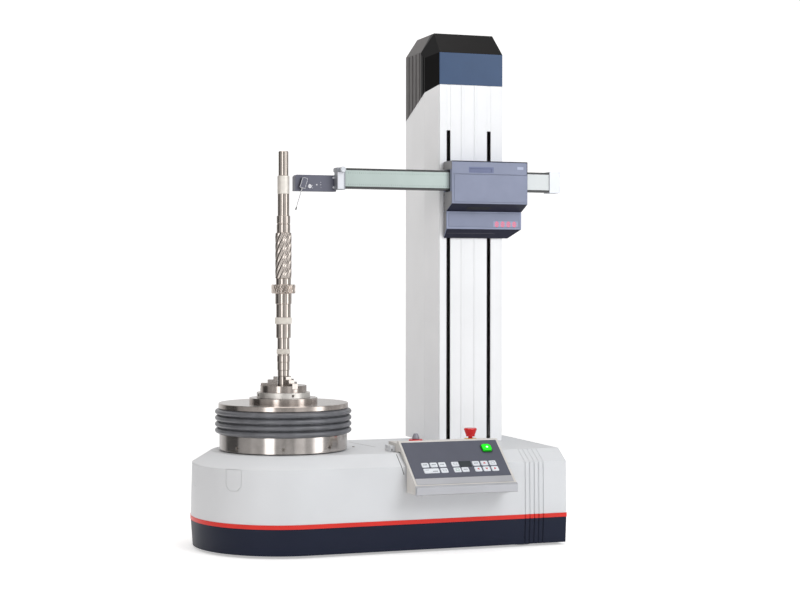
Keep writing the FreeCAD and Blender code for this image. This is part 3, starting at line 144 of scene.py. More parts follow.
def new_piece(name, mesh, body, material, crease=32):
    """Turns a finished mesh into an object that rides on a body of the frame; crease is in degrees."""
    bmesh.ops.recalc_face_normals(mesh, faces=mesh.faces)
    piece = new_object(name, mesh, material)
    piece.data.set_sharp_from_angle(angle=math.radians(crease))
    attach(piece, body)
    return piece


def rounded_outline(left, low, right, high, radius, steps=4):
    """The corner points of a rectangle whose corners are rounded."""
    centres = ((right - radius, high - radius, 0), (left + radius, high - radius, 90),
               (left + radius, low + radius, 180), (right - radius, low + radius, 270))
    points = []
    for x, y, start in centres:
        for step in range(steps + 1):
            angle = math.radians(start + 90 * step / steps)
            points.append((x + radius * math.cos(angle), y + radius * math.sin(angle)))
    return points


def round_outline(x, y, radius, steps=24):
    """The corner points of a circle."""
    return [(x + radius * math.cos(2 * math.pi * step / steps), y + radius * math.sin(2 * math.pi * step / steps))
            for step in range(steps)]


def box_outline(left, low, right, high):
    """The corner points of a rectangle."""
    return [(left, low), (right, low), (right, high), (left, high)]


def at(x, y, z=0):
    """A point given in millimetres."""
    return Vector((x * MM, y * MM, z * MM))


def add_plate(mesh, outline, low, high, place=Matrix(), round_off=0.0, steps=2):
    """A plate from its outline, from low to high, with its upper edge rounded off. All sizes are in millimetres."""
    bottom = [mesh.verts.new(place @ at(x, y, low)) for x, y in outline]
    upper = [mesh.verts.new(place @ at(x, y, high)) for x, y in outline]
    mesh.faces.new(bottom[::-1])
    top = mesh.faces.new(upper)
    for number in range(len(outline)):
        after = (number + 1) % len(outline)
        mesh.faces.new((bottom[number], bottom[after], upper[after], upper[number]))
    if round_off:
        bmesh.ops.bevel(mesh, geom=list(top.edges), offset=round_off * MM, segments=steps, affect="EDGES")


def add_turned(mesh, profile, columns=48, place=Matrix()):
    """A turned shape from (radius, height) points in millimetres.

    A third entry is a rule that cuts teeth: it takes radius, height and angle in metres and gives a radius in metres.
    """
    rings = []
    for radius, height, *rule in profile:
        if radius == 0:
            rings.append([mesh.verts.new(place @ at(0, 0, height))])
            continue
        ring = []
        for column in range(columns):
            angle = 2 * math.pi * column / columns
            here = rule[0](radius * MM, height * MM, angle) if rule else radius * MM
            corner = Vector((here * math.cos(angle), here * math.sin(angle), height * MM))
            ring.append(mesh.verts.new(place @ corner))
        rings.append(ring)
    for lower, upper in zip(rings, rings[1:]):
        for column in range(columns):
            after = (column + 1) % columns
            if len(lower) == 1:
                mesh.faces.new((lower[0], upper[after], upper[column]))
            elif len(upper) == 1:
                mesh.faces.new((lower[column], lower[after], upper[0]))
            else:
                mesh.faces.new((lower[column], lower[after], upper[after], upper[column]))


def add_ring(mesh, outer, inner, low, high, place):
    """A flat frame, in millimetres, between two outlines that have as many points as each other."""
    rings = [[mesh.verts.new(place @ at(x, y, level)) for x, y in outline]
             for outline, level in ((outer, low), (outer, high), (inner, high), (inner, low))]
    for first, second in zip(rings, (*rings[1:], rings[0])):
        for number in range(len(outer)):
            after = (number + 1) % len(outer)
            mesh.faces.new((first[number], first[after], second[after], second[number]))


def face_place(origin, right, up):
    """A placement whose x runs along right, y along up and z out of the face; its origin is in millimetres."""
    right, up = Vector(right).normalized(), Vector(up).normalized()
    return Matrix.Translation(at(*origin)) @ Matrix((right, up, right.cross(up))).transposed().to_4x4()


# Faces of the machine, as the directions of right and up for someone who looks at them.
FRONT = ((1, 0, 0), (0, 0, 1))
LEFT = ((0, -1, 0), (0, 0, 1))
REAR = ((-1, 0, 0), (0, 0, 1))
TOP = ((1, 0, 0), (0, 1, 0))


def add_node(tree, kind, settings=None, inputs=None):
    """Adds one node, sets its properties and fills its sockets with values or links."""
    node = tree.nodes.new(kind)
    for name, value in (settings or {}).items():
        setattr(node, name, value)
    for socket, value in (inputs or {}).items():
        if isinstance(value, bpy.types.NodeSocket):
            tree.links.new(value, node.inputs[socket])
        else:
            node.inputs[socket].default_value = value
    return node


def start_material(name, colour, **sockets):
    """A material with one Principled shader whose constant sockets are set, and the object's own coordinates."""
    material = bpy.data.materials.new(name)
    material.use_nodes = True
    tree = material.node_tree
    shader = tree.nodes["Principled BSDF"]
    sockets["Base_Color"] = linear(colour) if isinstance(colour, str) else colour
    for socket, value in sockets.items():
        shader.inputs[socket.replace("_", " ")].default_value = value
    material.diffuse_color = shader.inputs["Base Color"].default_value
    where = add_node(tree, "ShaderNodeTexCoord").outputs["Object"]
    return material, tree, shader, where


def relief(tree, shader, height, depth, edge, strength=0.6):
    """Bumps that follow a height socket, laid over edges that are softened to a radius."""
    soft = add_node(tree, "ShaderNodeBevel", {"samples": 4}, {"Radius": edge})
    bump = add_node(tree, "ShaderNodeBump", inputs={"Height": height, "Distance": depth, "Strength": strength,
                                                    "Normal": soft.outputs["Normal"]})
    tree.links.new(bump.outputs["Normal"], shader.inputs["Normal"])


def grain(tree, shader, where, edge, size, depth, detail=2.0):
    """Fine relief of one real size; size and depth are in millimetres."""
    noise = add_node(tree, "ShaderNodeTexNoise", inputs={"Vector": where, "Scale": 1 / (size * MM), "Detail": detail})
    relief(tree, shader, noise.outputs["Fac"], depth * MM, edge)


def mottle(tree, shader, where, size, amount):
    """Slow changes of tone over a surface, as handling and uneven coating leave them; size in millimetres."""
    colour = shader.inputs["Base Color"].default_value[:3]
    noise = add_node(tree, "ShaderNodeTexNoise", inputs={"Vector": where, "Scale": 1 / (size * MM), "Detail": 3.0})
    ramp = add_node(tree, "ShaderNodeValToRGB", inputs={"Fac": noise.outputs["Fac"]})
    for element, position, share in zip(ramp.color_ramp.elements, (0.3, 0.7), (1 - amount, 1 + amount)):
        element.position, element.color = position, (*[min(1.0, c * share) for c in colour], 1)
    tree.links.new(ramp.outputs["Color"], shader.inputs["Base Color"])


def rough_patches(tree, shader, where, low, high, size):
    """Roughness that drifts between two values, so that highlights aren't even; size in millimetres."""
    noise = add_node(tree, "ShaderNodeTexNoise", inputs={"Vector": where, "Scale": 1 / (size * MM), "Detail": 4.0})
    span = add_node(tree, "ShaderNodeMapRange", inputs={"Value": noise.outputs["Fac"], "To Min": low, "To Max": high})
    tree.links.new(span.outputs["Result"], shader.inputs["Roughness"])


def finish(name, colour, edge, surface, tone=None, patches=None, **sockets):
    """A material from the arguments of its grain, mottle and rough patches."""
    material, tree, shader, where = start_material(name, colour, **sockets)
    grain(tree, shader, where, edge, *surface)
    if tone:
        mottle(tree, shader, where, *tone)
    if patches:
        rough_patches(tree, shader, where, *patches)
    return material


def powder_coated_steel(name, colour, edge, shine=0.5):
    """Baked powder coat: half matt, with a slight orange-peel surface and soft edges."""
    return finish(name, colour, edge, (1.6, 0.05), (120, 0.025), (0.36, 0.5, 60), Roughness=0.42, IOR=1.5,
                  Specular_IOR_Level=shine)


def satin_enamel(name, colour, edge, shine=0.5):
    """Sprayed satin enamel: smoother than powder coat, with a clear highlight."""
    return finish(name, colour, edge, (2.5, 0.02), (60, 0.05), Roughness=0.32, IOR=1.5, Specular_IOR_Level=shine)


def moulded_abs(name, colour, edge, rough=0.5, shine=0.5):
    """Injection moulded ABS: a fine spark-eroded texture that breaks up the highlight."""
    return finish(name, colour, edge, (0.7, 0.04, 3.0), (40, 0.05), (rough - 0.07, rough + 0.08, 25), Roughness=rough,
                  IOR=1.54, Specular_IOR_Level=shine)


def blasted_steel(name, colour, rough=0.55):
    """Bead-blasted steel: pale and matt, because its pitted surface spreads the light."""
    return finish(name, colour, 0.3 * MM, (0.6, 0.03, 4.0), (8, 0.05), (rough - 0.08, rough + 0.08, 4),
                  Roughness=rough, Metallic=0.55)


def anodised_aluminium(name, colour, edge, rough=0.38, metal=0.85, depth=0.02):
    """Blasted and anodised aluminium: an even silky metal with a very fine grain."""
    return finish(name, colour, edge, (0.5, depth, 3.0), (50, 0.04), (rough - 0.05, rough + 0.08, 20),
                  Roughness=rough, Metallic=metal)


def cast_iron(name, colour):
    """Machined grey iron: dull dark metal with a mottled open grain."""
    return finish(name, colour, 0.8 * MM, (1.0, 0.08, 5.0), (5, 0.2), Roughness=0.5, Metallic=0.8)


def moulded_rubber(name, colour, rough=0.6):
    """Moulded neoprene: dark, dull, with a dusty bloom on its folds."""
    return finish(name, colour, 0.6 * MM, (0.9, 0.05), (25, 0.18), (rough - 0.08, rough + 0.12, 15), Roughness=rough,
                  IOR=1.52)


def glossy_plastic(name, colour, rough=0.18, **sockets):
    """Polished moulded plastic: a sharp highlight over a clean colour."""
    return finish(name, colour, 0.5 * MM, (3, 0.01), None, (rough - 0.04, rough + 0.08, 10), Roughness=rough, IOR=1.5,
                  **sockets)


def ribbed_cap(name, colour, painted_sheen_colour, edge):
    """Moulded ABS cap: near-black and smooth in front; a painted sheen, broken up by noise, makes its ribbed sides
    greyer.
    """
    material, tree, shader, where = start_material(name, colour, Roughness=0.45, IOR=1.54, Specular_IOR_Level=0.12)
    grain(tree, shader, where, edge, 0.7, 0.04, 3.0)
    parts = add_node(tree, "ShaderNodeSeparateXYZ", inputs={"Vector": where})
    # from here backwards the ribbed sides get the painted sheen
    ribbed = add_node(tree, "ShaderNodeMapRange", inputs={
        "Value": parts.outputs["Y"], "From Min": (RIBS_START - 1) * MM, "From Max": (RIBS_START + 1) * MM})
    sheen_breakup = add_node(tree, "ShaderNodeTexNoise", inputs={"Vector": where, "Scale": 1 / (30 * MM), "Detail": 4.0})
    sheen_strength = add_node(tree, "ShaderNodeMath", {"operation": "MULTIPLY_ADD", "use_clamp": True},
                    {0: sheen_breakup.outputs["Fac"], 1: 0.3, 2: 0.75})
    share = add_node(tree, "ShaderNodeMath", {"operation": "MULTIPLY"},
                     {0: sheen_strength.outputs[0], 1: ribbed.outputs["Result"]})
    mix = add_node(tree, "ShaderNodeMix", {"data_type": "RGBA"},
                   {0: share.outputs[0], 6: shader.inputs["Base Color"].default_value, 7: linear(painted_sheen_colour)})
    tree.links.new(mix.outputs[2], shader.inputs["Base Color"])
    return material


def turned_steel(name, colour, along, rough=0.24, pitch=1.2, depth=0.02):
    """Turned and ground steel: fine rings round the axis, drawn coarser than real so that they show."""
    material, tree, shader, where = start_material(name, colour, Roughness=rough, Metallic=1.0)
    parts = add_node(tree, "ShaderNodeSeparateXYZ", inputs={"Vector": where})
    line = parts.outputs["Z"]
    if along == "radius":
        x, y = parts.outputs["X"], parts.outputs["Y"]
        square = add_node(tree, "ShaderNodeMath", {"operation": "MULTIPLY"}, {0: x, 1: x})
        total = add_node(tree, "ShaderNodeMath", {"operation": "MULTIPLY_ADD"}, {0: y, 1: y, 2: square.outputs[0]})
        radius = add_node(tree, "ShaderNodeMath", {"operation": "SQRT"}, {0: total.outputs[0]})
        line = add_node(tree, "ShaderNodeMath", {"operation": "ADD"}, {0: radius.outputs[0], 1: line}).outputs[0]
    rings = add_node(tree, "ShaderNodeTexNoise", {"noise_dimensions": "1D"},
                     {"W": line, "Scale": 1 / (pitch * MM), "Detail": 4.0})
    relief(tree, shader, rings.outputs["Fac"], depth * MM, settings()[0].machined_break, 0.5)
    span = add_node(tree, "ShaderNodeMapRange", inputs={"Value": rings.outputs["Fac"], "To Min": rough - 0.05,
                                                        "To Max": rough + 0.08})
    tree.links.new(span.outputs["Result"], shader.inputs["Roughness"])
    mottle(tree, shader, where, 18, 0.07)
    return material


# Changes of height in each metre along x, y and z, so that the scratches run along x.
SCRATCHES = (60.0, 900.0, 900.0)


def ground_steel(name, colour, rough=0.28):
    """Surface-ground steel: short straight scratches and a faint oily unevenness."""
    material, tree, shader, where = start_material(name, colour, Roughness=rough, Metallic=1.0)
    stretched = add_node(tree, "ShaderNodeMapping", inputs={"Vector": where, "Scale": SCRATCHES})
    scratch = add_node(tree, "ShaderNodeTexNoise",
                       inputs={"Vector": stretched.outputs["Vector"], "Scale": 1.0, "Detail": 3.0})
    relief(tree, shader, scratch.outputs["Fac"], 0.02 * MM, settings()[0].machined_break, 0.5)
    rough_patches(tree, shader, where, rough - 0.06, rough + 0.1, 6)
    mottle(tree, shader, where, 12, 0.06)
    return material


def lit_lens(name, colour):
    """Clear green acrylic lit from below: brightest on top, deep green down its sides."""
    material, tree, shader, where = start_material(name, colour, Roughness=0.15, IOR=1.49, Emission_Strength=0.7)
    facing = add_node(tree, "ShaderNodeNewGeometry").outputs["Normal"]
    parts = add_node(tree, "ShaderNodeSeparateXYZ", inputs={"Vector": facing})
    ramp = add_node(tree, "ShaderNodeValToRGB", inputs={"Fac": parts.outputs["Z"]})
    for element, position, code in zip(ramp.color_ramp.elements, (0.3, 0.72), ("#005A08", "#10F010")):
        element.position, element.color = position, linear(code)
    tree.links.new(ramp.outputs["Color"], shader.inputs["Emission Color"])
    grain(tree, shader, where, 0.5 * MM, 3, 0.01)
    return material


def paint_nodes(material, *names):
    """Gives nodes of the CAD a material, and leaves their shapes alone."""
    for name in names:
        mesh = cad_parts[name].data
        mesh.materials.clear()
        mesh.materials.append(material)


# The base in mm: its top face, the top of its upright wall, and the slopes of its chamfer and its drafted wall.
BASE_TOP = 210.5
WALL_TOP = (0, -200, 185.5)
CHAMFER, DRAFT = (0, 41, 25), (0, 3, 114)
# Section of a screw head with a hexagon socket, for a head of 3.4 mm radius.
SOCKET_HEAD = ((0, 1.1), (3.4, 1.1), (3.2, 1.9), (2.4, 2.2), (1.4, 2.2), (1.3, 1.5), (0, 1.5))
# Where the ribbed sides of the column's cap begin, and with them its painted sheen, in mm behind the table's axis.
RIBS_START = 100


class TESTER_OT_base(bpy.types.Operator):
    """Finishes the base housing, its covers, trim, plinth and feet"""
    bl_idname = "tester.base"
    bl_label = "Base"

    def execute(self, context):
        sizes, colours = settings()
        edge = sizes.edge_break
        coat = powder_coated_steel("powder_coated_steel_white", colours.cover, edge)
        paint_nodes(coat, "base_housing", "transport_covers", "panel_bracket")
        paint_nodes(powder_coated_steel("powder_coated_steel_navy", colours.plinth, edge, shine=0.2), "plinth_skirt")
        paint_nodes(satin_enamel("satin_enamel_red", colours.trim, 0.8 * MM, shine=0.3), "trim_strip")
        paint_nodes(cast_iron("machined_cast_iron", "#6A6A6C"), "base_bed", "spindle_housing", "column_frame",
                    "counterweight")
        paint_nodes(turned_steel("turned_steel_feet", "#8E8E90", "Z"), "levelling_feet")
        paint_nodes(moulded_abs("painted_motor_case", "#303033", 0.5 * MM), "motor_stator", "lift_motor")
        paint_nodes(moulded_rubber("moulded_rubber_belt", "#1D1D1F"), "lift_belt")

        # painted shade in the gap where the panel's bracket meets the base, down the chamfer and the wall, and a dark
        # cup that paints the shade in its socket
        mesh = bmesh.new()
        chamfer = face_place(WALL_TOP, (1, 0, 0), CHAMFER)
        wall = face_place(WALL_TOP, (1, 0, 0), DRAFT)
        add_plate(mesh, [(205.6, 0), (206.9, 0), (208.1, 44), (206.9, 44)], 0, 0.3, chamfer, 0.1)
        add_plate(mesh, [(211.2, -17.6), (212.6, -17.6), (206.9, 0), (205.6, 0)], 0, 0.3, wall, 0.1)
        add_turned(mesh, [(0, 0.1), (2.1, 0.1), (2.3, 0.3), (2.9, 0.3), (3, 0), (0, 0)], 24,
                   face_place((205, -140.5, 215.7), *LEFT))
        # near-black that paints the shade in the bracket's gap and socket
        dark = moulded_rubber("painted_shade_in_bracket_gap", "#2A2A2C")
        new_piece("bracket_gap_painted_shade", mesh, "base", dark)

        # joint line and screw of the cover plate between the table and the column
        mesh = bmesh.new()
        top = face_place((0, 0, BASE_TOP), *TOP)
        add_plate(mesh, [(206.4, -18), (207.4, -18), (186.5, 111), (185.5, 111)], 0, 0.2, top, 0.1)
        line = powder_coated_steel("powder_coated_steel_joint", "#8F8C8A", 0.2 * MM)
        new_piece("cover_plate_joint", mesh, "base", line)
        mesh = bmesh.new()
        add_turned(mesh, [(0, 0), (2.8, 0), (2.8, 1.2), (2.4, 1.6), (1.4, 1.6), (1.3, 0.7), (0, 0.7)], 24,
                   top @ Matrix.Translation(at(161, -2)))
        screw = ground_steel("ground_steel_screw", "#A9A6A3")
        new_piece("cover_plate_screw", mesh, "base", screw)

        # rear of the base: service cover with its screws, a louvred vent and the power inlet
        rear = face_place((0, 200, WALL_TOP[2]), (-1, 0, 0), (0, -3, 114))
        mesh, screws, slots = bmesh.new(), bmesh.new(), bmesh.new()
        add_plate(mesh, rounded_outline(-560, -98, -330, -18, 6), 0, 1.2, rear, 0.5)
        for x in (-552, -445, -338):
            for y in (-90, -26):
                add_turned(screws, SOCKET_HEAD, 24, rear @ Matrix.Translation(at(x, y)))
        for row in range(7):
            y = -84 + 9 * row
            add_plate(slots, rounded_outline(-430, y, -352, y + 3.4, 1.6), 1.1, 1.4, rear, 0.1)
        add_plate(slots, rounded_outline(-535, -76, -487, -46, 3), 1.1, 2.6, rear, 0.6)
        for left in (-523, -513, -503):
            add_plate(screws, box_outline(left, -66, left + 2, -58), 2.5, 2.8, rear)
        new_piece("rear_service_cover", mesh, "base", coat)
        new_piece("rear_cover_screws", screws, "base", screw)
        black = moulded_abs("moulded_abs_black", "#1B1B1D", 0.3 * MM)
        new_piece("rear_vent_and_inlet", slots, "base", black)
        return {"FINISHED"}


# The bellows in mm: its ends, its inner wall, the floor of its valleys and how far its four folds stand out.
BELLOWS_LOW, BELLOWS_HIGH = 247.5, 302
BELLOWS_INNER, BELLOWS_ROOT, BELLOWS_FOLD = 124, 141, 9


class TESTER_OT_table(bpy.types.Operator):
    """Finishes the rotary table: spindle, adjusting ring, bellows, stages, screws and plate"""
    bl_idname = "tester.table"
    bl_label = "Rotary table"

    def execute(self, context):
        paint_nodes(turned_steel("turned_steel_plate", "#B9B0AA", "radius", rough=0.16), "table_plate",
                    "table_spindle", "cross_slide", "centring_stage", "tilt_ring")
        paint_nodes(turned_steel("turned_steel_ring", "#BDB7B3", "Z", rough=0.12, depth=0.01), "adjusting_ring")

        # bellows: four rounded folds with tight valleys between them
        pitch = (BELLOWS_HIGH - BELLOWS_LOW) / 4
        profile = [(BELLOWS_INNER, BELLOWS_LOW), (BELLOWS_ROOT, BELLOWS_LOW)]
        for fold in range(4):
            for turn in [math.radians(angle) for angle in range(-90, 91, 15)]:
                profile.append((BELLOWS_ROOT + BELLOWS_FOLD * math.cos(turn) ** 0.8,
                                BELLOWS_LOW + pitch * (fold + 0.5 + 0.44 * math.sin(turn))))
        profile += [(BELLOWS_ROOT, BELLOWS_HIGH), (BELLOWS_INNER, BELLOWS_HIGH), (BELLOWS_INNER, BELLOWS_LOW)]
        mesh = bmesh.new()
        add_turned(mesh, profile, 180)
        bmesh.ops.remove_doubles(mesh, verts=mesh.verts, dist=0.01 * MM)
        rubber = moulded_rubber("moulded_neoprene_bellows", "#626368", rough=0.3)
        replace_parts(new_piece("bellows_folds", mesh, "spindle", rubber, crease=60), "table_bellows")
        paint_nodes(ground_steel("zinc_plated_screws", "#8C8782", rough=0.35), "centring_screw_x",
                    "centring_screw_y", "levelling_screw_x", "levelling_screw_y")
        return {"FINISHED"}


class TESTER_OT_chuck(bpy.types.Operator):
    """Finishes the scroll chuck and its jaws"""
    bl_idname = "tester.chuck"
    bl_label = "Chuck"

    def execute(self, context):
        paint_nodes(turned_steel("turned_steel_chuck", "#B4ABA5", "radius", rough=0.16), "chuck_flange", "chuck_body")
        paint_nodes(turned_steel("turned_steel_scroll", "#D9D6D2", "Z", rough=0.42), "scroll_ring")
        paint_nodes(ground_steel("ground_steel_jaws", "#B5AEA9", rough=0.24), "chuck_jaw_1", "chuck_jaw_2",
                    "chuck_jaw_3")
        return {"FINISHED"}


# Radius and upper end of each step of the shaft, in mm, from its held end upwards, as the source has them.
SHAFT_FOOT = 341
SHAFT_STEPS = ((11.9, 372), (12.7, 385), (13.6, 403), (14.2, 417), (13.2, 420.5), (15, 431.5), (13.4, 455.8),
               (16.2, 486.6), (18.5, 501), (16.2, 530.6), (18, 553.7), (26.4, 573.5), (16.8, 586.7), (17.9, 687),
               (15.1, 705.5), (14.3, 708), (15.1, 724.3), (12.9, 772.7), (13.3, 812.4), (11, 866.4))
# Upper ends of the steps that carry splines, a bead-blasted surface, the gear and the worm.
SPLINED_TOPS, MATT_TOPS, GEAR_TOP, WORM_TOP = (431.5, 501), (431.5, 501, 812.4), 573.5, 687
SPLINE_DEPTH = 0.7
# Height of a row of facets on a toothed step, in mm, and facets round the shaft.
ROW_HEIGHT, SHAFT_COLUMNS = 1.6, 312


class TESTER_OT_workpiece(bpy.types.Operator):
    """Turns the stepped shaft with its worm, gear and splined rings"""
    bl_idname = "tester.workpiece"
    bl_label = "Workpiece"

    def execute(self, context):
        sizes = settings()[0]

        def gear(radius, height, angle):
            phase = sizes.gear_teeth * (angle / (2 * math.pi) - height / sizes.gear_lead)
            return radius - sizes.tooth_depth * min(1, max(0, 0.5 + 1.1 * math.sin(2 * math.pi * phase)))

        def worm(radius, height, angle):
            phase = sizes.worm_starts * (angle / (2 * math.pi) - height / sizes.worm_lead)
            groove = (0.5 + 0.5 * math.cos(2 * math.pi * phase)) ** 0.8
            return radius - sizes.worm_depth * groove

        def spline(radius, height, angle):
            return radius - SPLINE_DEPTH * MM * min(1, max(0, 0.5 + 1.5 * math.sin(sizes.splines * angle)))

        rules = {GEAR_TOP: gear, WORM_TOP: worm, **{top: spline for top in SPLINED_TOPS}}
        profile = [(0, SHAFT_FOOT)]
        matt_levels = []
        low = SHAFT_FOOT
        for radius, top in SHAFT_STEPS:
            rule = [rules[top]] if top in rules else []
            broken = 0.9 if rule or top == SHAFT_STEPS[-1][1] else 0.5
            rows = max(2, round((top - low) / ROW_HEIGHT)) if rule else 2
            heights = [low + broken + (top - low - 2 * broken) * row / (rows - 1) for row in range(rows)]
            step = [(radius - broken, low), *[(radius, height) for height in heights], (radius - broken, top)]
            profile += [(r, z, *rule) for r, z in step]
            if top in MATT_TOPS:
                matt_levels.append((low * MM, top * MM))
            low = top
        profile.append((0, low))
        mesh = bmesh.new()
        add_turned(mesh, profile, SHAFT_COLUMNS)
        for face in mesh.faces:
            middle = face.calc_center_median().z
            face.material_index = int(any(foot < middle < head for foot, head in matt_levels))
        polished = turned_steel("ground_steel_shaft", "#BDB4AD", "Z", rough=0.1, pitch=0.8)
        shaft = new_piece("stepped_shaft", mesh, "workpiece", polished)
        shaft.data.materials.append(blasted_steel("blasted_steel_bands", "#DAD5CE"))
        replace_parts(shaft, "test_shaft")
        return {"FINISHED"}


class TESTER_OT_column(bpy.types.Operator):
    """Finishes the column covers, the cap and its band, and the slideway inside"""
    bl_idname = "tester.column"
    bl_label = "Column"

    def execute(self, context):
        sizes, colours = settings()
        # the column's colour is the base's coat with painted light: brighter for the light that falls on the column
        paint_nodes(powder_coated_steel("powder_coated_steel_column_painted_brighter", colours.column, sizes.edge_break),
                    "column_side_cover", "column_front_cover")
        # the grey given here is the painted sheen on the cap's ribbed sides
        paint_nodes(ribbed_cap("moulded_abs_cap", colours.cap, "#6E6C6C", sizes.edge_break), "column_cap")
        paint_nodes(satin_enamel("satin_enamel_band", colours.band, 1 * MM, shine=0.25), "cap_front_band")
        paint_nodes(ground_steel("ground_steel_rails", "#A7A5A2"), "guide_rails", "idler_pulley", "drive_pulley")
        return {"FINISHED"}


# The carriage in mm: its sides, front and back, then the front, foot and top of its lower cover, where the underside
# of that cover ends at the back, and how far its right corner is cut off.
CARRIAGE_LEFT, CARRIAGE_RIGHT, CARRIAGE_FRONT, CARRIAGE_BACK = 385.8, 571.2, -28, 25
LOW_COVER_FRONT, LOW_COVER_FOOT, LOW_COVER_TOP, SLOPE_FOOT = 7, 701, 740.7, 680
CUT_CORNER = 27
# Segments of a digit on the display: middle x, middle z and whether it stands upright, in halves of its size.
DIGIT_BARS = ((0, 1, False), (0, 0, False), (0, -1, False), (-1, 0.5, True), (1, 0.5, True), (-1, -0.5, True),
              (1, -0.5, True))
# Middles of the digits along x and z, then their width, their height and the width of a bar, in mm.
DIGIT_PLACES, DIGIT_MIDDLE, DIGIT_WIDTH, DIGIT_HEIGHT, DIGIT_BAR = (509.4, 523.9, 538.4, 552.9), 712.1, 7.6, 9.6, 2.4


def add_digit(mesh, x, place):
    """One figure eight of seven lit bars, as a display shows it when all of them are on."""
    for middle_x, middle_z, upright in DIGIT_BARS:
        centre_x, centre_z = x + middle_x * DIGIT_WIDTH / 2, DIGIT_MIDDLE + middle_z * DIGIT_HEIGHT / 2
        half_x = DIGIT_BAR / 2 if upright else DIGIT_WIDTH / 2 - DIGIT_BAR * 0.55
        half_z = DIGIT_HEIGHT / 4 - DIGIT_BAR * 0.55 if upright else DIGIT_BAR / 2
        outline = box_outline(centre_x - half_x, centre_z - half_z, centre_x + half_x, centre_z + half_z)
        add_plate(mesh, outline, 0, 0.15, place)


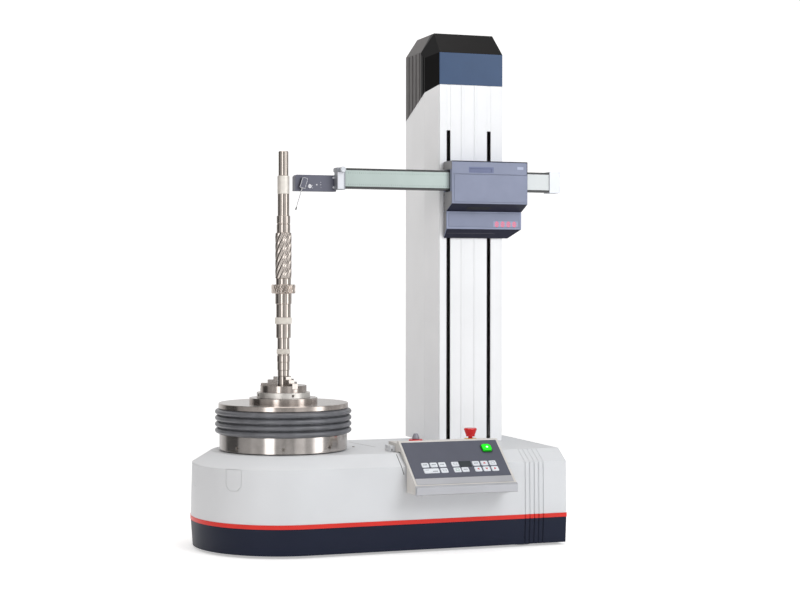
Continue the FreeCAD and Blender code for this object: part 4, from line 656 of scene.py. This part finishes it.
class TESTER_OT_carriage(bpy.types.Operator):
    """Finishes the carriage covers and adds its face panels, side plates, trim and lit display"""
    bl_idname = "tester.carriage"
    bl_label = "Carriage"

    def execute(self, context):
        sizes, colours = settings()
        cover = moulded_abs("moulded_abs_carriage", colours.carriage, sizes.edge_break, rough=0.45)
        # near-black blue: the joint line round the lid, and painted shade on the carriage's undersides
        navy = moulded_abs("moulded_abs_joint_line_and_painted_shade", "#14162A", 0.5 * MM, rough=0.55, shine=0.25)
        # near-black that paints the shade inside the carriage's slot and holes
        dark = moulded_rubber("painted_shade_in_openings", "#08080C")
        paint_nodes(cover, "carriage_cover", "carriage_lid")
        saddle = anodised_aluminium("black_anodised_saddle", "#1B1D2C", 0.5 * MM, metal=0.3)
        paint_nodes(saddle, "carriage_saddle")
        front = face_place((0, CARRIAGE_FRONT, 0), *FRONT)
        low_front = face_place((0, LOW_COVER_FRONT, 0), *FRONT)

        # lower cover over the position sensor: upright front, sloping underside, cut right corner
        mesh = bmesh.new()
        (left, right), (front_y, back_y) = (CARRIAGE_LEFT, CARRIAGE_RIGHT), (LOW_COVER_FRONT, CARRIAGE_BACK)
        foot, top = LOW_COVER_FOOT, LOW_COVER_TOP
        corners = ((left, front_y, foot), (right, front_y, foot), (left, front_y, top), (right, front_y, top),
                   (left, back_y, top), (right, back_y, top), (left, back_y, SLOPE_FOOT),
                   (right - CUT_CORNER, back_y, SLOPE_FOOT), (right, back_y, foot))
        bmesh.ops.convex_hull(mesh, input=[mesh.verts.new(at(*corner)) for corner in corners])
        bmesh.ops.dissolve_limit(mesh, angle_limit=math.radians(1), verts=mesh.verts, edges=mesh.edges)
        bmesh.ops.bevel(mesh, geom=list(mesh.edges), offset=0.8 * MM, segments=2, affect="EDGES")
        low_cover = moulded_abs("moulded_abs_grey_blue_low", "#9098B2", 0.5 * MM)
        sensor = new_piece("sensor_cover_shell", mesh, "carriage", low_cover)
        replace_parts(sensor, "sensor_cover")

        # slightly raised face panels, with the handle recess left open in the upper one
        mesh = bmesh.new()
        add_plate(mesh, rounded_outline(391.3, 760.5, 570.4, 823.2, 1.2), 0, 0.7, front, 0.35)
        add_plate(mesh, rounded_outline(390.6, 704.6, 567.0, 737.4, 1.2), 0, 0.6, low_front, 0.35)
        new_piece("carriage_face_panels", mesh, "carriage", cover)

        # dark joint line round the lid, and painted shade on the undercut and the sloping underside
        mesh = bmesh.new()
        add_plate(mesh, box_outline(386, 851.8, 571, 854), 0, 0.3, front)
        add_plate(mesh, box_outline(569.6, 824.5, 571, 852), 0, 0.3, front)
        undercut = face_place((0, CARRIAGE_FRONT, 757), (1, 0, 0), (0, -35, 16))
        add_plate(mesh, box_outline(386.2, -38.3, 570.8, -0.2), 0, 0.3, undercut)
        slope = face_place((0, LOW_COVER_FRONT, LOW_COVER_FOOT), (1, 0, 0),
                           (0, LOW_COVER_FRONT - CARRIAGE_BACK, LOW_COVER_FOOT - SLOPE_FOOT))
        add_plate(mesh, [(386.6, -27.2), (543.5, -27.2), (570.2, -0.6), (386.6, -0.6)], 0, 0.4, slope)
        new_piece("carriage_shaded_undersides", mesh, "carriage", navy)

        # dark plates that paint the shade in the slot of the undercut and in the holes and slot on the left side
        mesh = bmesh.new()
        add_plate(mesh, rounded_outline(430.3, -28.5, 486.3, -15.3, 1), 0.25, 0.5, undercut)
        left_side = face_place((CARRIAGE_LEFT, 0, 0), *LEFT)
        for z in (778.3, 759.5):
            add_plate(mesh, round_outline(-21, z, 2.2), 0, 0.75, left_side)
        add_plate(mesh, box_outline(13, 785.4, 15.4, 833.6), 0.5, 0.75, left_side)
        new_piece("carriage_dark_openings", mesh, "carriage", dark)

        # grey plates that close the left side above and below the arm, and along the lower cover
        mesh = bmesh.new()
        for outline in (rounded_outline(-24.6, 834.6, 27.4, 853.4, 1.5),
                        [(-24.6, 741.6), (-7.4, 741.6), (27.4, 757.6), (27.4, 784.4), (-24.6, 784.4)],
                        [(-24.4, 681.8), (-7.6, 702), (-7.6, 740), (-24.4, 740)]):
            add_plate(mesh, outline, 0, 0.6, left_side, 0.3)
        side = satin_enamel("satin_enamel_side_plates", "#77777A", 0.5 * MM)
        new_piece("carriage_side_plates", mesh, "carriage", side)

        mesh = bmesh.new()
        add_plate(mesh, rounded_outline(500.5, 705.4, 562, 719.2, 1), 0.55, 0.85, low_front, 0.15)
        window = glossy_plastic("tinted_acrylic_window", "#98A0BC", rough=0.22)
        pane = new_piece("position_display_window", mesh, "carriage", window)
        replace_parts(pane, "position_display")
        mesh = bmesh.new()
        display = face_place((0, LOW_COVER_FRONT - 0.85, 0), *FRONT)
        for x in DIGIT_PLACES:
            add_digit(mesh, x, display)
        lit = glossy_plastic("lit_led_bars", "#E8506A", rough=0.4, Emission_Color=linear("#FF5F78"),
                             Emission_Strength=0.35)
        new_piece("position_display_digits", mesh, "carriage", lit)

        # recess of the lid's grip and its rim, darker than the lid as painted shade, and a small blank plate at its
        # right
        mesh = bmesh.new()
        add_plate(mesh, rounded_outline(428.4, 828.4, 483.6, 837.6, 0.6), -1.5, -1.3, front)
        add_ring(mesh, rounded_outline(427, 827.4, 487.5, 840.6, 1.2),
                 rounded_outline(429, 829, 482.8, 837.2, 0.8), 0, 0.3, front)
        shade = moulded_abs("moulded_abs_painted_recess_shade", "#6B7394", 0.3 * MM, rough=0.55)
        new_piece("carriage_grip_recess", mesh, "carriage", shade)
        mesh = bmesh.new()
        add_plate(mesh, rounded_outline(546, 836.4, 561, 842.6, 0.8), 0, 0.25, front, 0.1)
        blank = moulded_abs("moulded_abs_blank_plate", "#A7AEC6", 0.2 * MM, rough=0.4)
        new_piece("carriage_blank_plate", mesh, "carriage", blank)
        return {"FINISHED"}


# The arm in mm: its front face plate, the front of its end block and of the probe head, the middle of the clamp knob,
# and the pivot and lean in degrees of the stylus holder with the length and ball radius of the stylus.
PLATE_FACE, BLOCK_FRONT, HEAD_FRONT = 12.8, -16, 8
KNOB = (130, -26.3, 828)
HOLDER_X, HOLDER_Z, HOLDER_LEAN = 46.2, 798, 17
STYLUS_LENGTH, BALL_RADIUS = 61, 1.7
# Scale marks: first mark, pitch, count, rows and size; every fifth is longer.
MARK_FIRST, MARK_PITCH, MARK_COUNT, MARK_ROWS, MARK_HALF, MARK_TALL = 146, 5, 82, (821.5, 796), 0.35, 2.6
# Screws and pins on the probe head: profile in parts of the radius and heights, then x, z and radius of each.
SCREW_DOME = ((1, 0), (1, 0.3), (0.8, 0.6), (0.35, 0.65), (0.3, 0.3), (0, 0.3))
HEAD_SCREWS = ((118, 811.4, 2.6), (118, 789.9, 2.6), (78.6, 794.9, 1.6), (87.9, 795.1, 1.1), (68.7, 793, 1.0),
               (87.9, 800.4, 0.8), (87.9, 788.7, 0.8), (68.7, 787.3, 0.8))


class TESTER_OT_arm(bpy.types.Operator):
    """Finishes the measuring arm, its face plates and scale marks, the end pieces, the probe head and the stylus"""
    bl_idname = "tester.arm"
    bl_label = "Arm and probe"

    def execute(self, context):
        colours = settings()[1]
        silver = anodised_aluminium("anodised_aluminium_silver", "#C4C7CC", 0.8 * MM, metal=0.5)
        black = anodised_aluminium("anodised_aluminium_black", "#3A3B3B", 0.6 * MM, metal=0.4)
        head = anodised_aluminium("anodised_aluminium_head", colours.head, 1 * MM, rough=0.32, metal=0.35)
        paint_nodes(black, "arm_beam")
        paint_nodes(silver, "arm_end_cap", "clamp_knob")
        paint_nodes(head, "probe_head", "stylus_holder")
        paint_nodes(turned_steel("polished_steel_stylus", "#C6C6C8", "Z", rough=0.15), "stylus")

        # end block: a narrow lower part under a rounded bridge
        mesh = bmesh.new()
        upwards = face_place((0, 0, 0), *TOP)
        add_plate(mesh, rounded_outline(119, -16, 138, 8, 1.2), 784, 824.2, upwards)
        add_plate(mesh, rounded_outline(118.4, -16.3, 138, 14, 1.6), 823.6, 833, upwards, 1.2, 3)
        casting = anodised_aluminium("anodised_aluminium_block", "#93969C", 0.6 * MM, metal=0.5)
        block = new_piece("end_block_casting", mesh, "arm", casting)
        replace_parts(block, "arm_end_block")

        # dark ceramic ball with its ferrule at the tip of the stylus
        lean = Matrix.Rotation(math.radians(HOLDER_LEAN), 4, "Y")
        turns = [math.radians(angle) for angle in range(0, 140, 15)]
        ball = [(BALL_RADIUS * math.sin(turn), -STYLUS_LENGTH - BALL_RADIUS * math.cos(turn)) for turn in turns]
        mesh = bmesh.new()
        add_turned(mesh, [*ball, (1.3, -59.4), (1.3, -57), (1.05, -56.4), (0, -56.4)], 24,
                   Matrix.Translation(at(HOLDER_X, 0, HOLDER_Z)) @ lean)
        ceramic = glossy_plastic("sintered_ceramic_ball", "#26262A", rough=0.2)
        new_piece("stylus_ball_tip", mesh, "stylus", ceramic)

        # ground face plates let into both faces of the beam, green-grey up to the carriage and silver beyond it
        green = anodised_aluminium("ground_and_anodised_face_plate", colours.arm, 0.3 * MM, rough=0.3, metal=0.3,
                                   depth=0.002)
        pale = anodised_aluminium("ground_and_anodised_tail_plate", "#C4C8C9", 0.3 * MM, rough=0.35, metal=0.2,
                                  depth=0.002)
        front, back = face_place((0, -PLATE_FACE, 0), *FRONT), face_place((0, PLATE_FACE, 0), *REAR)
        for name, left, right, material, slot in (("arm_face_plates", 138.4, 571, green, "arm_green_grey"),
                                                  ("arm_tail_plates", 571.4, 631.6, pale, "arm_silver")):
            mesh = bmesh.new()
            for place, start, end in ((front, left, right), (back, -right, -left)):
                add_plate(mesh, rounded_outline(start, 791.3, end, 827.7, 0.8, steps=2), 0, 0.8, place, 0.25)
            new_piece(name, mesh, "arm", material)
        mesh = bmesh.new()
        for row in MARK_ROWS:
            for number in range(MARK_COUNT):
                x, half = MARK_FIRST + MARK_PITCH * number, MARK_TALL * (1.5 if number % 5 == 0 else 1) / 2
                add_plate(mesh, box_outline(x - MARK_HALF, row - half, x + MARK_HALF, row + half), 0.8, 0.84, front)
        etched = anodised_aluminium("etched_scale_marks", "#6F7D79", 0.1 * MM, metal=0.3)
        new_piece("arm_scale_marks", mesh, "arm", etched)

        # white face on the end block, and a milled rim round the clamp knob
        mesh = bmesh.new()
        block_face = face_place((0, BLOCK_FRONT, 0), *FRONT)
        add_plate(mesh, rounded_outline(119.8, 785.2, 134, 822.6, 0.8), 0, 0.7, block_face, 0.3)
        white = satin_enamel("satin_enamel_white_block", "#E9EBF2", 0.5 * MM)
        new_piece("end_block_face", mesh, "arm", white)

        def milled(radius, height, angle):
            return radius + 0.25 * MM * math.sin(24 * angle)

        mesh = bmesh.new()
        knob = face_place(KNOB, *FRONT)
        add_turned(mesh, [(r, z, milled) for r, z in ((6.0, -8.6), (6.4, -8), (6.4, -1), (6.0, -0.2))], 144, knob)
        add_turned(mesh, ((5.6, -0.4), (5.3, 0.3), (3.4, 0.3), (3.0, 0.05), (0, 0.05)), 48, knob)
        new_piece("clamp_knob_rim", mesh, "clamp_knob", silver)

        # probe head: end screws, small pins, a slotted clamp screw, and a bright rim round the tilting holder that
        # paints the highlight on its edges
        mesh = bmesh.new()
        face = face_place((0, HEAD_FRONT, 0), *FRONT)
        for x, z, radius in HEAD_SCREWS:
            dome = [(radius * part, height) for part, height in SCREW_DOME]
            add_turned(mesh, dome, 24, face @ Matrix.Translation(at(x, z)))
        slotted = face @ Matrix.Translation(at(62.5, 791.4)) @ Matrix.Rotation(math.radians(20), 4, "Z")
        for side in (-1, 1):
            half = [(x, y) for x, y in round_outline(0, 0, 4.3, 48) if y * side > 0.5]
            add_plate(mesh, half, 0, 1.2, slotted, 0.25)
        add_plate(mesh, round_outline(0, 0, 4.4, 48), 0, 0.5, slotted, 0.1)
        bright = ground_steel("nickel_plated_screws_and_painted_edge_highlight", "#D8D8DC", rough=0.25)
        new_piece("probe_head_screws", mesh, "arm", bright)
        # bright strips round the holder: painted highlight on its edges
        mesh = bmesh.new()
        rim = Matrix.Translation(at(HOLDER_X, -2.5, HOLDER_Z)) @ lean @ face_place((0, 0, 0), *FRONT)
        for bar in ((-6.3, -12, -5.3, 12), (5.5, -12, 6.3, 12), (-6.3, 11.1, 6.3, 12), (-6.3, -12, 6.3, -11.2)):
            add_plate(mesh, box_outline(*bar), 0, 0.35, rim, 0.15)
        new_piece("stylus_holder_painted_edge_highlight", mesh, "stylus_holder", bright)
        return {"FINISHED"}


# Keys as the source has them: column in key pitches, width in keys, and the mark on it.
UPPER_KEYS = ((0, 1, "bar"), (1, 1, "bar"), (2, 1, "bar"), (3.53, 1, "frame"), (6, 1, "bar"), (7, 1, "up"),
              (8, 1, "frame"))
LOWER_KEYS = ((0.5, 2.25, "wide"), (2, 1, "frame"), (3.53, 1, "green"), (4.48, 1, "bar"), (6, 1, "left"),
              (7, 1, "down"), (8, 1, "right"))
# Height of each row on the sloped face, then the first column, pitch, width, length and top of a key, in mm.
KEY_ROWS = ((-78.3, UPPER_KEYS), (-96.1, LOWER_KEYS))
KEY_FIRST, KEY_PITCH, KEY_WIDTH, KEY_LENGTH, KEY_TOP = 255, 19.4, 15, 13.6, 1.9
ARROWS = {"up": 0, "left": 90, "down": 180, "right": 270}
# Printed marks: the bars that each is made of, as left, lower, right and upper edges in mm.
FRAME_BARS = ((-4, 2.2, 4, 3), (-4, -3, 4, -2.2), (-4, -2.2, -3.2, 2.2), (3.2, -2.2, 4, 2.2))
MARK_BARS = {"bar": [(left, -1.4, left + 2.2, 1.6) for left in (-4.4, -1.2, 2.0)],
             "wide": ((-14, 1.2, -6, 2.4), (2, -3.6, 13.5, -1.4)), "frame": FRAME_BARS, "green": FRAME_BARS}
INK_HEIGHT = 0.08


class TESTER_OT_panel(bpy.types.Operator):
    """Finishes the operating panel and adds its pillow keys, printed marks, lit button and smooth lip"""
    bl_idname = "tester.panel"
    bl_label = "Operating panel"

    def execute(self, context):
        sizes, colours = settings()
        paint_nodes(moulded_abs("moulded_abs_panel", "#D2CFCB", sizes.edge_break), "panel_housing")
        paint_nodes(moulded_abs("printed_polyester_foil", colours.panel, 0.4 * MM, rough=0.42), "panel_face")
        paint_nodes(glossy_plastic("smoked_acrylic_window", "#2A3236", rough=0.2), "panel_window")
        lip = anodised_aluminium("extruded_aluminium_lip", "#B2B3B8", 0.6 * MM, rough=0.34, metal=0.45)
        paint_nodes(lip, "panel_lip")
        paint_nodes(glossy_plastic("moulded_abs_red", "#D3141C"), "e_stop_button", "dial_collar")
        paint_nodes(glossy_plastic("moulded_abs_yellow", "#E8B820"), "e_stop_collar")
        paint_nodes(moulded_abs("moulded_abs_dial", "#85868F", 0.6 * MM, rough=0.4), "control_dial")
        slope = face_place((0, -150, 234.5), (1, 0, 0), (0, 111.2, 83.4))

        keys, grey, red, green = bmesh.new(), bmesh.new(), bmesh.new(), bmesh.new()
        for y, row in KEY_ROWS:
            for column, wide, mark in row:
                x = KEY_FIRST + KEY_PITCH * column
                half_x, half_y = KEY_WIDTH * wide / 2 + 0.6, KEY_LENGTH / 2 + 0.4
                pad = rounded_outline(x - half_x, y - half_y, x + half_x, y + half_y, 2.4)
                add_plate(keys, pad, 0.5, KEY_TOP, slope, 0.8, 3)
                top = slope @ Matrix.Translation(at(x, y, KEY_TOP))
                if mark in ARROWS:
                    turned = top @ Matrix.Rotation(math.radians(ARROWS[mark]), 4, "Z")
                    add_plate(red, [(-3.2, -2.2), (3.2, -2.2), (0, 3)], 0, INK_HEIGHT, turned)
                    continue
                for bar in MARK_BARS[mark]:
                    add_plate(green if mark == "green" else grey, box_outline(*bar), 0, INK_HEIGHT, top)
        foil = moulded_abs("embossed_polyester_keys", "#DFE3E9", 0.4 * MM, rough=0.36)
        pads = new_piece("pillow_keys", keys, "base", foil)
        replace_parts(pads, "key_pads")
        for name, mesh, code in (("key_marks_grey", grey, "#7C828C"), ("key_marks_red", red, "#C2202C"),
                                 ("key_marks_green", green, "#2E8B57")):
            ink = satin_enamel(f"screen_printed_ink_{name[10:]}", code, 0.02 * MM)
            new_piece(name, mesh, "base", ink)

        # lit start button: rounded lens with a bright middle, in a dark collar that paints the shade round it
        button = slope @ Matrix.Translation(at(410, -32.4))
        mesh = bmesh.new()
        add_plate(mesh, rounded_outline(-10.4, -9.9, 10.4, 9.9, 3.6, 6), -5.4, 5.4, button, 1.6, 4)
        acrylic = lit_lens("lit_acrylic_lens", "#00A800")
        lens = new_piece("lit_start_lens", mesh, "start_button", acrylic)
        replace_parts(lens, "start_button")
        mesh = bmesh.new()
        add_plate(mesh, round_outline(1.2, 0.8, 2.7, 32), 5.36, 5.5, button, 0.1)
        spot = glossy_plastic("lit_acrylic_spot", "#C8FFD0", Emission_Color=linear("#D8FFE0"), Emission_Strength=0.8)
        new_piece("start_lens_spot", mesh, "start_button", spot)
        # dark collar: painted shade round the button
        mesh = bmesh.new()
        outer = rounded_outline(-12.4, -11.9, 12.4, 11.9, 4.4, 6)
        inner = rounded_outline(-10.9, -10.4, 10.9, 10.4, 3.9, 6)
        add_ring(mesh, outer, inner, 0.45, 1.6, button)
        new_piece("start_button_collar", mesh, "base", moulded_rubber("painted_shade_collar", "#16241B"))

        mesh = bmesh.new()
        front = face_place((0, -268.5, 0), *FRONT)
        add_plate(mesh, rounded_outline(216.2, 131.6, 445.8, 147.4, 1.2), 0, 0.7, front, 0.5, 3)
        new_piece("panel_lip_face", mesh, "base", lip)
        return {"FINISHED"}


# The studio. Soft boxes: bearing from the table's axis in degrees from +X, and brightness. Two bright boxes stand to
# the left and right of the camera, with grey cloth beside them and a black flag at the far left.
SOFT_BOXES = ((-180, 0.45), (-164, 0.48), (-158, 0.62), (-150, 0.52), (-143, 0.55), (-138, 0.72), (-134, 3.0),
              (-122, 3.0), (-119, 0.45), (-110, 0.55), (-104, 0.4), (-96, 0.6), (-88, 0.42), (-84, 0.85), (-70, 1.0),
              (-66, 0.6), (-56, 0.7), (-45, 3.0), (-36, 3.0), (-32, 0.62), (-20, 0.42), (0, 0.55), (40, 0.5),
              (90, 0.85), (118, 0.75), (134, 0.4), (140, 0.1), (170, 0.08), (173, 0.4))
# Distance of the cloth from the table's axis and its lower and upper edge, in metres, and its facets.
SOFT_BOX_REACH, SOFT_BOX_LEVELS, SOFT_BOX_COLUMNS = 1.35, (0.005, 3.2), 120
# Area lamps: place in metres, size in metres, power in watts and tint.
LAMPS = (("key_light", (1.6, -3.4, 2.6), 2.2, 72.0, (0.965, 0.985, 1.0)),
         ("fill_light", (-3.2, -1.4, 1.8), 2.4, 19.0, (1.0, 0.9, 0.82)),
         ("top_light", (0.2, 0.4, 3.4), 2.0, 26.0, (1.0, 0.955, 0.92)))
WORLD_STRENGTH = 0.52
# Floor in metres: where it starts and where it bends up, the radius of the bend, its height and its half width.
FLOOR_START, FLOOR_BACK, FLOOR_BEND, FLOOR_HEIGHT, FLOOR_HALF = -6.0, 2.6, 1.2, 6.0, 8.0
PAPER_GLOW = 0.42


def matt_paper():
    """Matt white paper: it shows its own white to the camera, to mirrors and through glass."""
    material, tree, shader, _ = start_material("matt_paper_floor", (0.9, 0.9, 0.9, 1), Roughness=0.9,
                                               Specular_IOR_Level=0.1)
    rays = add_node(tree, "ShaderNodeLightPath").outputs
    seen = rays["Is Camera Ray"]
    for kind in ("Is Glossy Ray", "Is Transmission Ray"):
        seen = add_node(tree, "ShaderNodeMath", {"operation": "MAXIMUM"}, {0: seen, 1: rays[kind]}).outputs[0]
    lift = add_node(tree, "ShaderNodeMath", {"operation": "MULTIPLY"}, {0: seen, 1: PAPER_GLOW})
    glow = add_node(tree, "ShaderNodeEmission", inputs={"Color": (1, 1, 1, 1), "Strength": lift.outputs[0]})
    both = add_node(tree, "ShaderNodeAddShader", inputs={0: shader.outputs[0], 1: glow.outputs[0]})
    tree.links.new(both.outputs[0], tree.nodes["Material Output"].inputs["Surface"])
    return material


def soft_box_cloth():
    """Glowing cloth and black flags, brighter or darker by their bearing from the table's axis."""
    material, tree, shader, where = start_material("diffusing_cloth_and_black_flags", (1, 1, 1, 1))
    tree.nodes.remove(shader)
    parts = add_node(tree, "ShaderNodeSeparateXYZ", inputs={"Vector": where})
    bearing = add_node(tree, "ShaderNodeMath", {"operation": "ARCTAN2"},
                       {0: parts.outputs["Y"], 1: parts.outputs["X"]})
    turn = add_node(tree, "ShaderNodeMath", {"operation": "MULTIPLY_ADD"},
                    {0: bearing.outputs[0], 1: 0.5 / math.pi, 2: 0.5})
    ramp = add_node(tree, "ShaderNodeValToRGB", inputs={"Fac": turn.outputs[0]})
    elements = ramp.color_ramp.elements
    elements.remove(elements[0])
    stops = sorted((((angle + 180) % 360) / 360, (*[bright] * 3, 1)) for angle, bright in SOFT_BOXES)
    elements[0].position, elements[0].color = stops[0]
    for position, colour in stops[1:]:
        elements.new(position).color = colour
    glow = add_node(tree, "ShaderNodeEmission", inputs={"Color": ramp.outputs["Color"], "Strength": 1.0})
    tree.links.new(glow.outputs[0], tree.nodes["Material Output"].inputs["Surface"])
    return material


class TESTER_OT_stage(bpy.types.Operator):
    """Adds the pale floor, the soft studio light and the camera"""
    bl_idname = "tester.stage"
    bl_label = "Floor, light and camera"

    def execute(self, context):
        scene = context.scene
        scene.view_settings.view_transform = "Standard"
        centre = (Vector(CAD_BOX[0]) + Vector(CAD_BOX[1])) / 2

        # floor that sweeps up behind the object
        mesh = bmesh.new()
        sections = [(FLOOR_START, 0), (FLOOR_BACK, 0)]
        for angle in [math.pi / 2 * step / 12 for step in range(1, 13)]:
            sections.append((FLOOR_BACK + FLOOR_BEND * math.sin(angle), FLOOR_BEND - FLOOR_BEND * math.cos(angle)))
        sections.append((FLOOR_BACK + FLOOR_BEND, FLOOR_HEIGHT))
        rows = [[mesh.verts.new((centre.x + side, distance, height)) for side in (-FLOOR_HALF, FLOOR_HALF)]
                for distance, height in sections]
        for first, second in zip(rows, rows[1:]):
            mesh.faces.new((first[0], first[1], second[1], second[0]))
        floor = new_object("studio_floor", mesh, matt_paper())

        # soft boxes and black flags round the table, seen only in polished metal, as a product studio has them
        mesh = bmesh.new()
        bearings = [2 * math.pi * column / SOFT_BOX_COLUMNS for column in range(SOFT_BOX_COLUMNS)]
        low, high = [[mesh.verts.new((SOFT_BOX_REACH * math.cos(angle), SOFT_BOX_REACH * math.sin(angle), height))
                      for angle in bearings] for height in SOFT_BOX_LEVELS]
        for column in range(SOFT_BOX_COLUMNS):
            after = (column + 1) % SOFT_BOX_COLUMNS
            mesh.faces.new((low[column], high[column], high[after], low[after]))
        screen = new_object("studio_soft_boxes", mesh, soft_box_cloth())
        for kind in ("camera", "diffuse", "transmission", "shadow", "volume_scatter"):
            setattr(screen, f"visible_{kind}", False)

        world = bpy.data.worlds.new("studio_world")
        scene.world = world
        world.use_nodes = True
        sky = world.node_tree.nodes["Background"]
        sky.inputs["Color"].default_value = (1, 1, 1, 1)
        sky.inputs["Strength"].default_value = WORLD_STRENGTH

        for name, place, size, power, tint in LAMPS:
            lamp = bpy.data.lights.new(name, "AREA")
            lamp.size, lamp.energy, lamp.color = size, power, tint
            item = bpy.data.objects.new(name, lamp)
            item.location = place
            item.rotation_euler = (centre - Vector(place)).to_track_quat("-Z", "Y").to_euler()
            scene.collection.objects.link(item)

        view = scene.tester_camera
        camera = bpy.data.cameras.new("photo_camera")
        camera.lens, camera.sensor_width, camera.clip_end = view.lens, 36, 50
        item = bpy.data.objects.new("photo_camera", camera)
        forward = Vector((math.cos(view.pitch) * math.sin(view.yaw), math.cos(view.pitch) * math.cos(view.yaw),
                          -math.sin(view.pitch)))
        side = Vector((math.cos(view.yaw), -math.sin(view.yaw), 0))
        up = side.cross(forward)
        right = side * math.cos(view.roll) + up * math.sin(view.roll)
        up = right.cross(forward)
        item.matrix_world = Matrix.Translation(view.place) @ Matrix((right, up, -forward)).transposed().to_4x4()
        scene.collection.objects.link(item)
        scene.camera = item
        return {"FINISHED"}


class TESTER_PT_panel(bpy.types.Panel):
    """Sidebar panel with all settings and one button for each stage"""
    bl_idname = "TESTER_PT_panel"
    bl_label = "Cylindricity tester"
    bl_space_type = "VIEW_3D"
    bl_region_type = "UI"
    bl_category = "Form tester"

    def draw(self, context):
        for group in ("tester_sizes", "tester_colours", "tester_camera"):
            box = self.layout.box()
            values = getattr(context.scene, group)
            for name in type(values).__annotations__:
                box.prop(values, name)
        for step in STEPS:
            self.layout.operator(step.bl_idname)


STEPS = (TESTER_OT_base, TESTER_OT_table, TESTER_OT_chuck, TESTER_OT_workpiece, TESTER_OT_column, TESTER_OT_carriage,
         TESTER_OT_arm, TESTER_OT_panel, TESTER_OT_stage)
CLASSES = (TesterSizes, TesterColours, TesterCamera, *STEPS, TESTER_PT_panel)


def register():
    for cls in CLASSES:
        bpy.utils.register_class(cls)
    bpy.types.Scene.tester_sizes = PointerProperty(type=TesterSizes)
    bpy.types.Scene.tester_colours = PointerProperty(type=TesterColours)
    bpy.types.Scene.tester_camera = PointerProperty(type=TesterCamera)


def unregister():
    del bpy.types.Scene.tester_camera
    del bpy.types.Scene.tester_colours
    del bpy.types.Scene.tester_sizes
    for cls in reversed(CLASSES):
        bpy.utils.unregister_class(cls)


def main():
    register()
    for step in STEPS:
        group, name = step.bl_idname.split(".")
        getattr(getattr(bpy.ops, group), name)()


if __name__ == "__main__":
    main()
